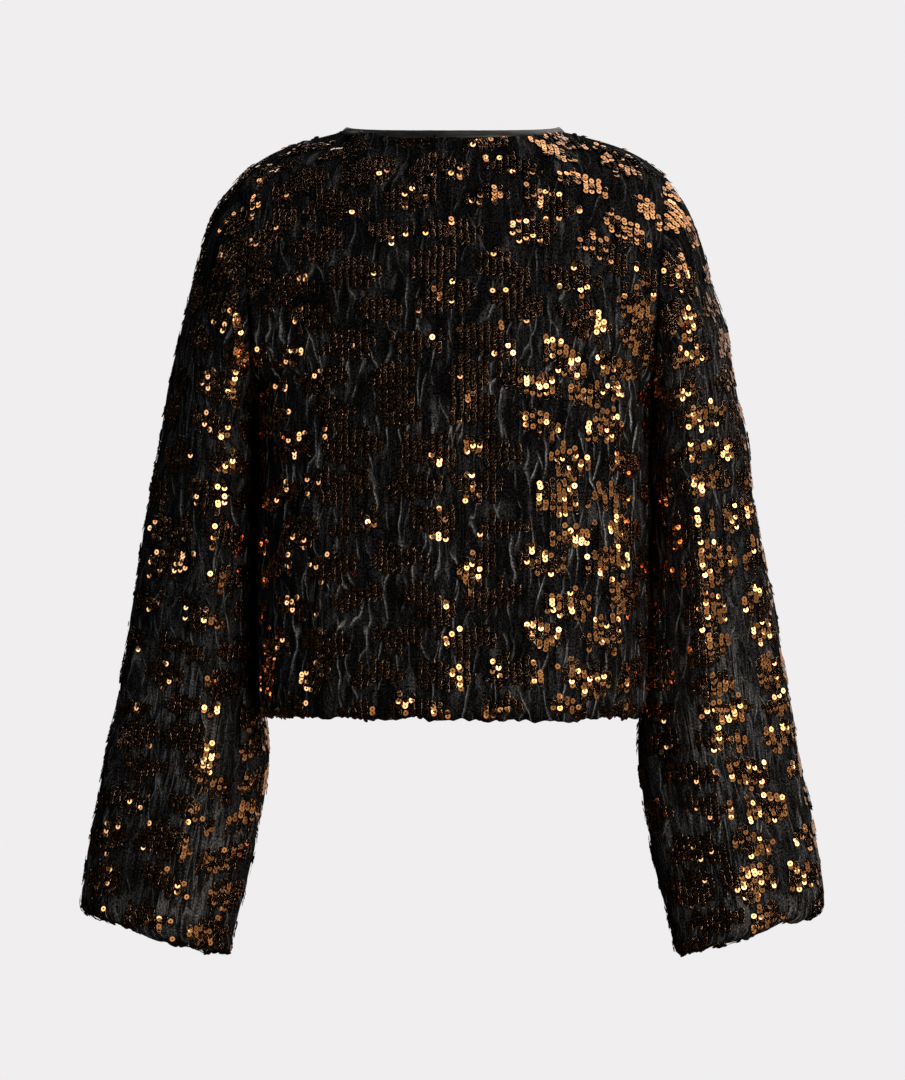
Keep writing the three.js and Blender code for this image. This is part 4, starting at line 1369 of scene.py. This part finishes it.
def build_floor():
    mesh = bpy.data.meshes.new("floor")
    ring = []
    for k in range(FLOOR_SIDES):
        a = 2 * math.pi * k / FLOOR_SIDES
        ring.append((FLOOR_RADIUS * math.cos(a), FLOOR_RADIUS * math.sin(a), FLOOR_LEVEL))
    mesh.from_pydata(ring, [], [tuple(range(FLOOR_SIDES))])
    n = Nodes("floor_paint")
    pale = n.ramp(n.object_noise(3.0, 2.0), [(0.3, (0.855, 0.84, 0.848)), (0.7, (0.875, 0.86, 0.868))])
    dull = (0.05, 0.05, 0.05, 1)
    paint = n.surface(Base_Color=dull, Roughness=0.9, Emission_Color=pale, Emission_Strength=0.97)
    mesh.materials.append(paint)
    floor = bpy.data.objects.new("floor", mesh)
    floor.visible_glossy = False
    floor.visible_diffuse = False
    bpy.context.collection.objects.link(floor)


def build_room():
    """A world that the camera sees as pale and that everything else sees as nearly black."""
    world = bpy.data.worlds.new("room")
    bpy.context.scene.world = world
    world.use_nodes = True
    tree = world.node_tree
    tree.nodes.clear()
    path, mix, out = (
        tree.nodes.new("ShaderNode" + kind) for kind in ("LightPath", "MixShader", "OutputWorld")
    )
    tree.links.new(path.outputs["Is Camera Ray"], mix.inputs[0])
    for socket, colour in ((1, (0.004, 0.004, 0.0042, 1)), (2, (0.871, 0.855, 0.863, 1))):
        wall = tree.nodes.new("ShaderNodeBackground")
        wall.inputs[0].default_value = colour
        tree.links.new(wall.outputs[0], mix.inputs[socket])
    tree.links.new(mix.outputs[0], out.inputs[0])


def soft_box(name, azimuth, elevation, distance, wide, tall, power, colour):
    """azimuth is from the camera's side of the jacket, positive to the right of the picture."""
    light = bpy.data.lights.new(name, "AREA")
    light.shape = "RECTANGLE"
    light.size, light.size_y = wide, tall
    light.energy = power
    light.color = colour
    a, e = math.radians(azimuth), math.radians(elevation)
    way = np.array([-math.sin(a) * math.cos(e), math.cos(a) * math.cos(e), math.sin(e)])
    lamp = bpy.data.objects.new(name, light)
    lamp.location = LIT_POINT + way * distance
    lamp.rotation_mode = "QUATERNION"
    lamp.rotation_quaternion = Vector(way.tolist()).to_track_quat("Z", "Y")
    lamp.visible_camera = False
    bpy.context.collection.objects.link(lamp)


# %% The studio itself
build_floor()
build_room()
for light in LIGHTS:
    soft_box(*light)
print("lights:", len(LIGHTS))

# %% [markdown]
# ## Camera
# The photograph is taken from straight behind with a long lens. One of its pixels is 0.85 mm at the jacket.

# %% The camera
PHOTO_HEIGHT, PHOTO_MIDDLE = 1080, 540
ORIGIN_ROW = 131  # the photo's row of pixels at which the frame's origin lies
PIXEL = 0.85 * MM
DISTANCE = 6.0
SENSOR = 36
camera_data = bpy.data.cameras.new("camera")
camera = bpy.data.objects.new("camera", camera_data)
bpy.context.collection.objects.link(camera)
camera_data.sensor_width = SENSOR
camera_data.lens = SENSOR * DISTANCE / (PHOTO_HEIGHT * PIXEL)
camera_data.clip_end = 60
camera.location = (0.0004, DISTANCE, -(PHOTO_MIDDLE - ORIGIN_ROW) * PIXEL)
camera.rotation_euler = (math.radians(90), 0, math.radians(180))
bpy.context.scene.camera = camera
bpy.context.scene.view_settings.view_transform = "Standard"
print("lens:", round(camera_data.lens, 1), "mm")
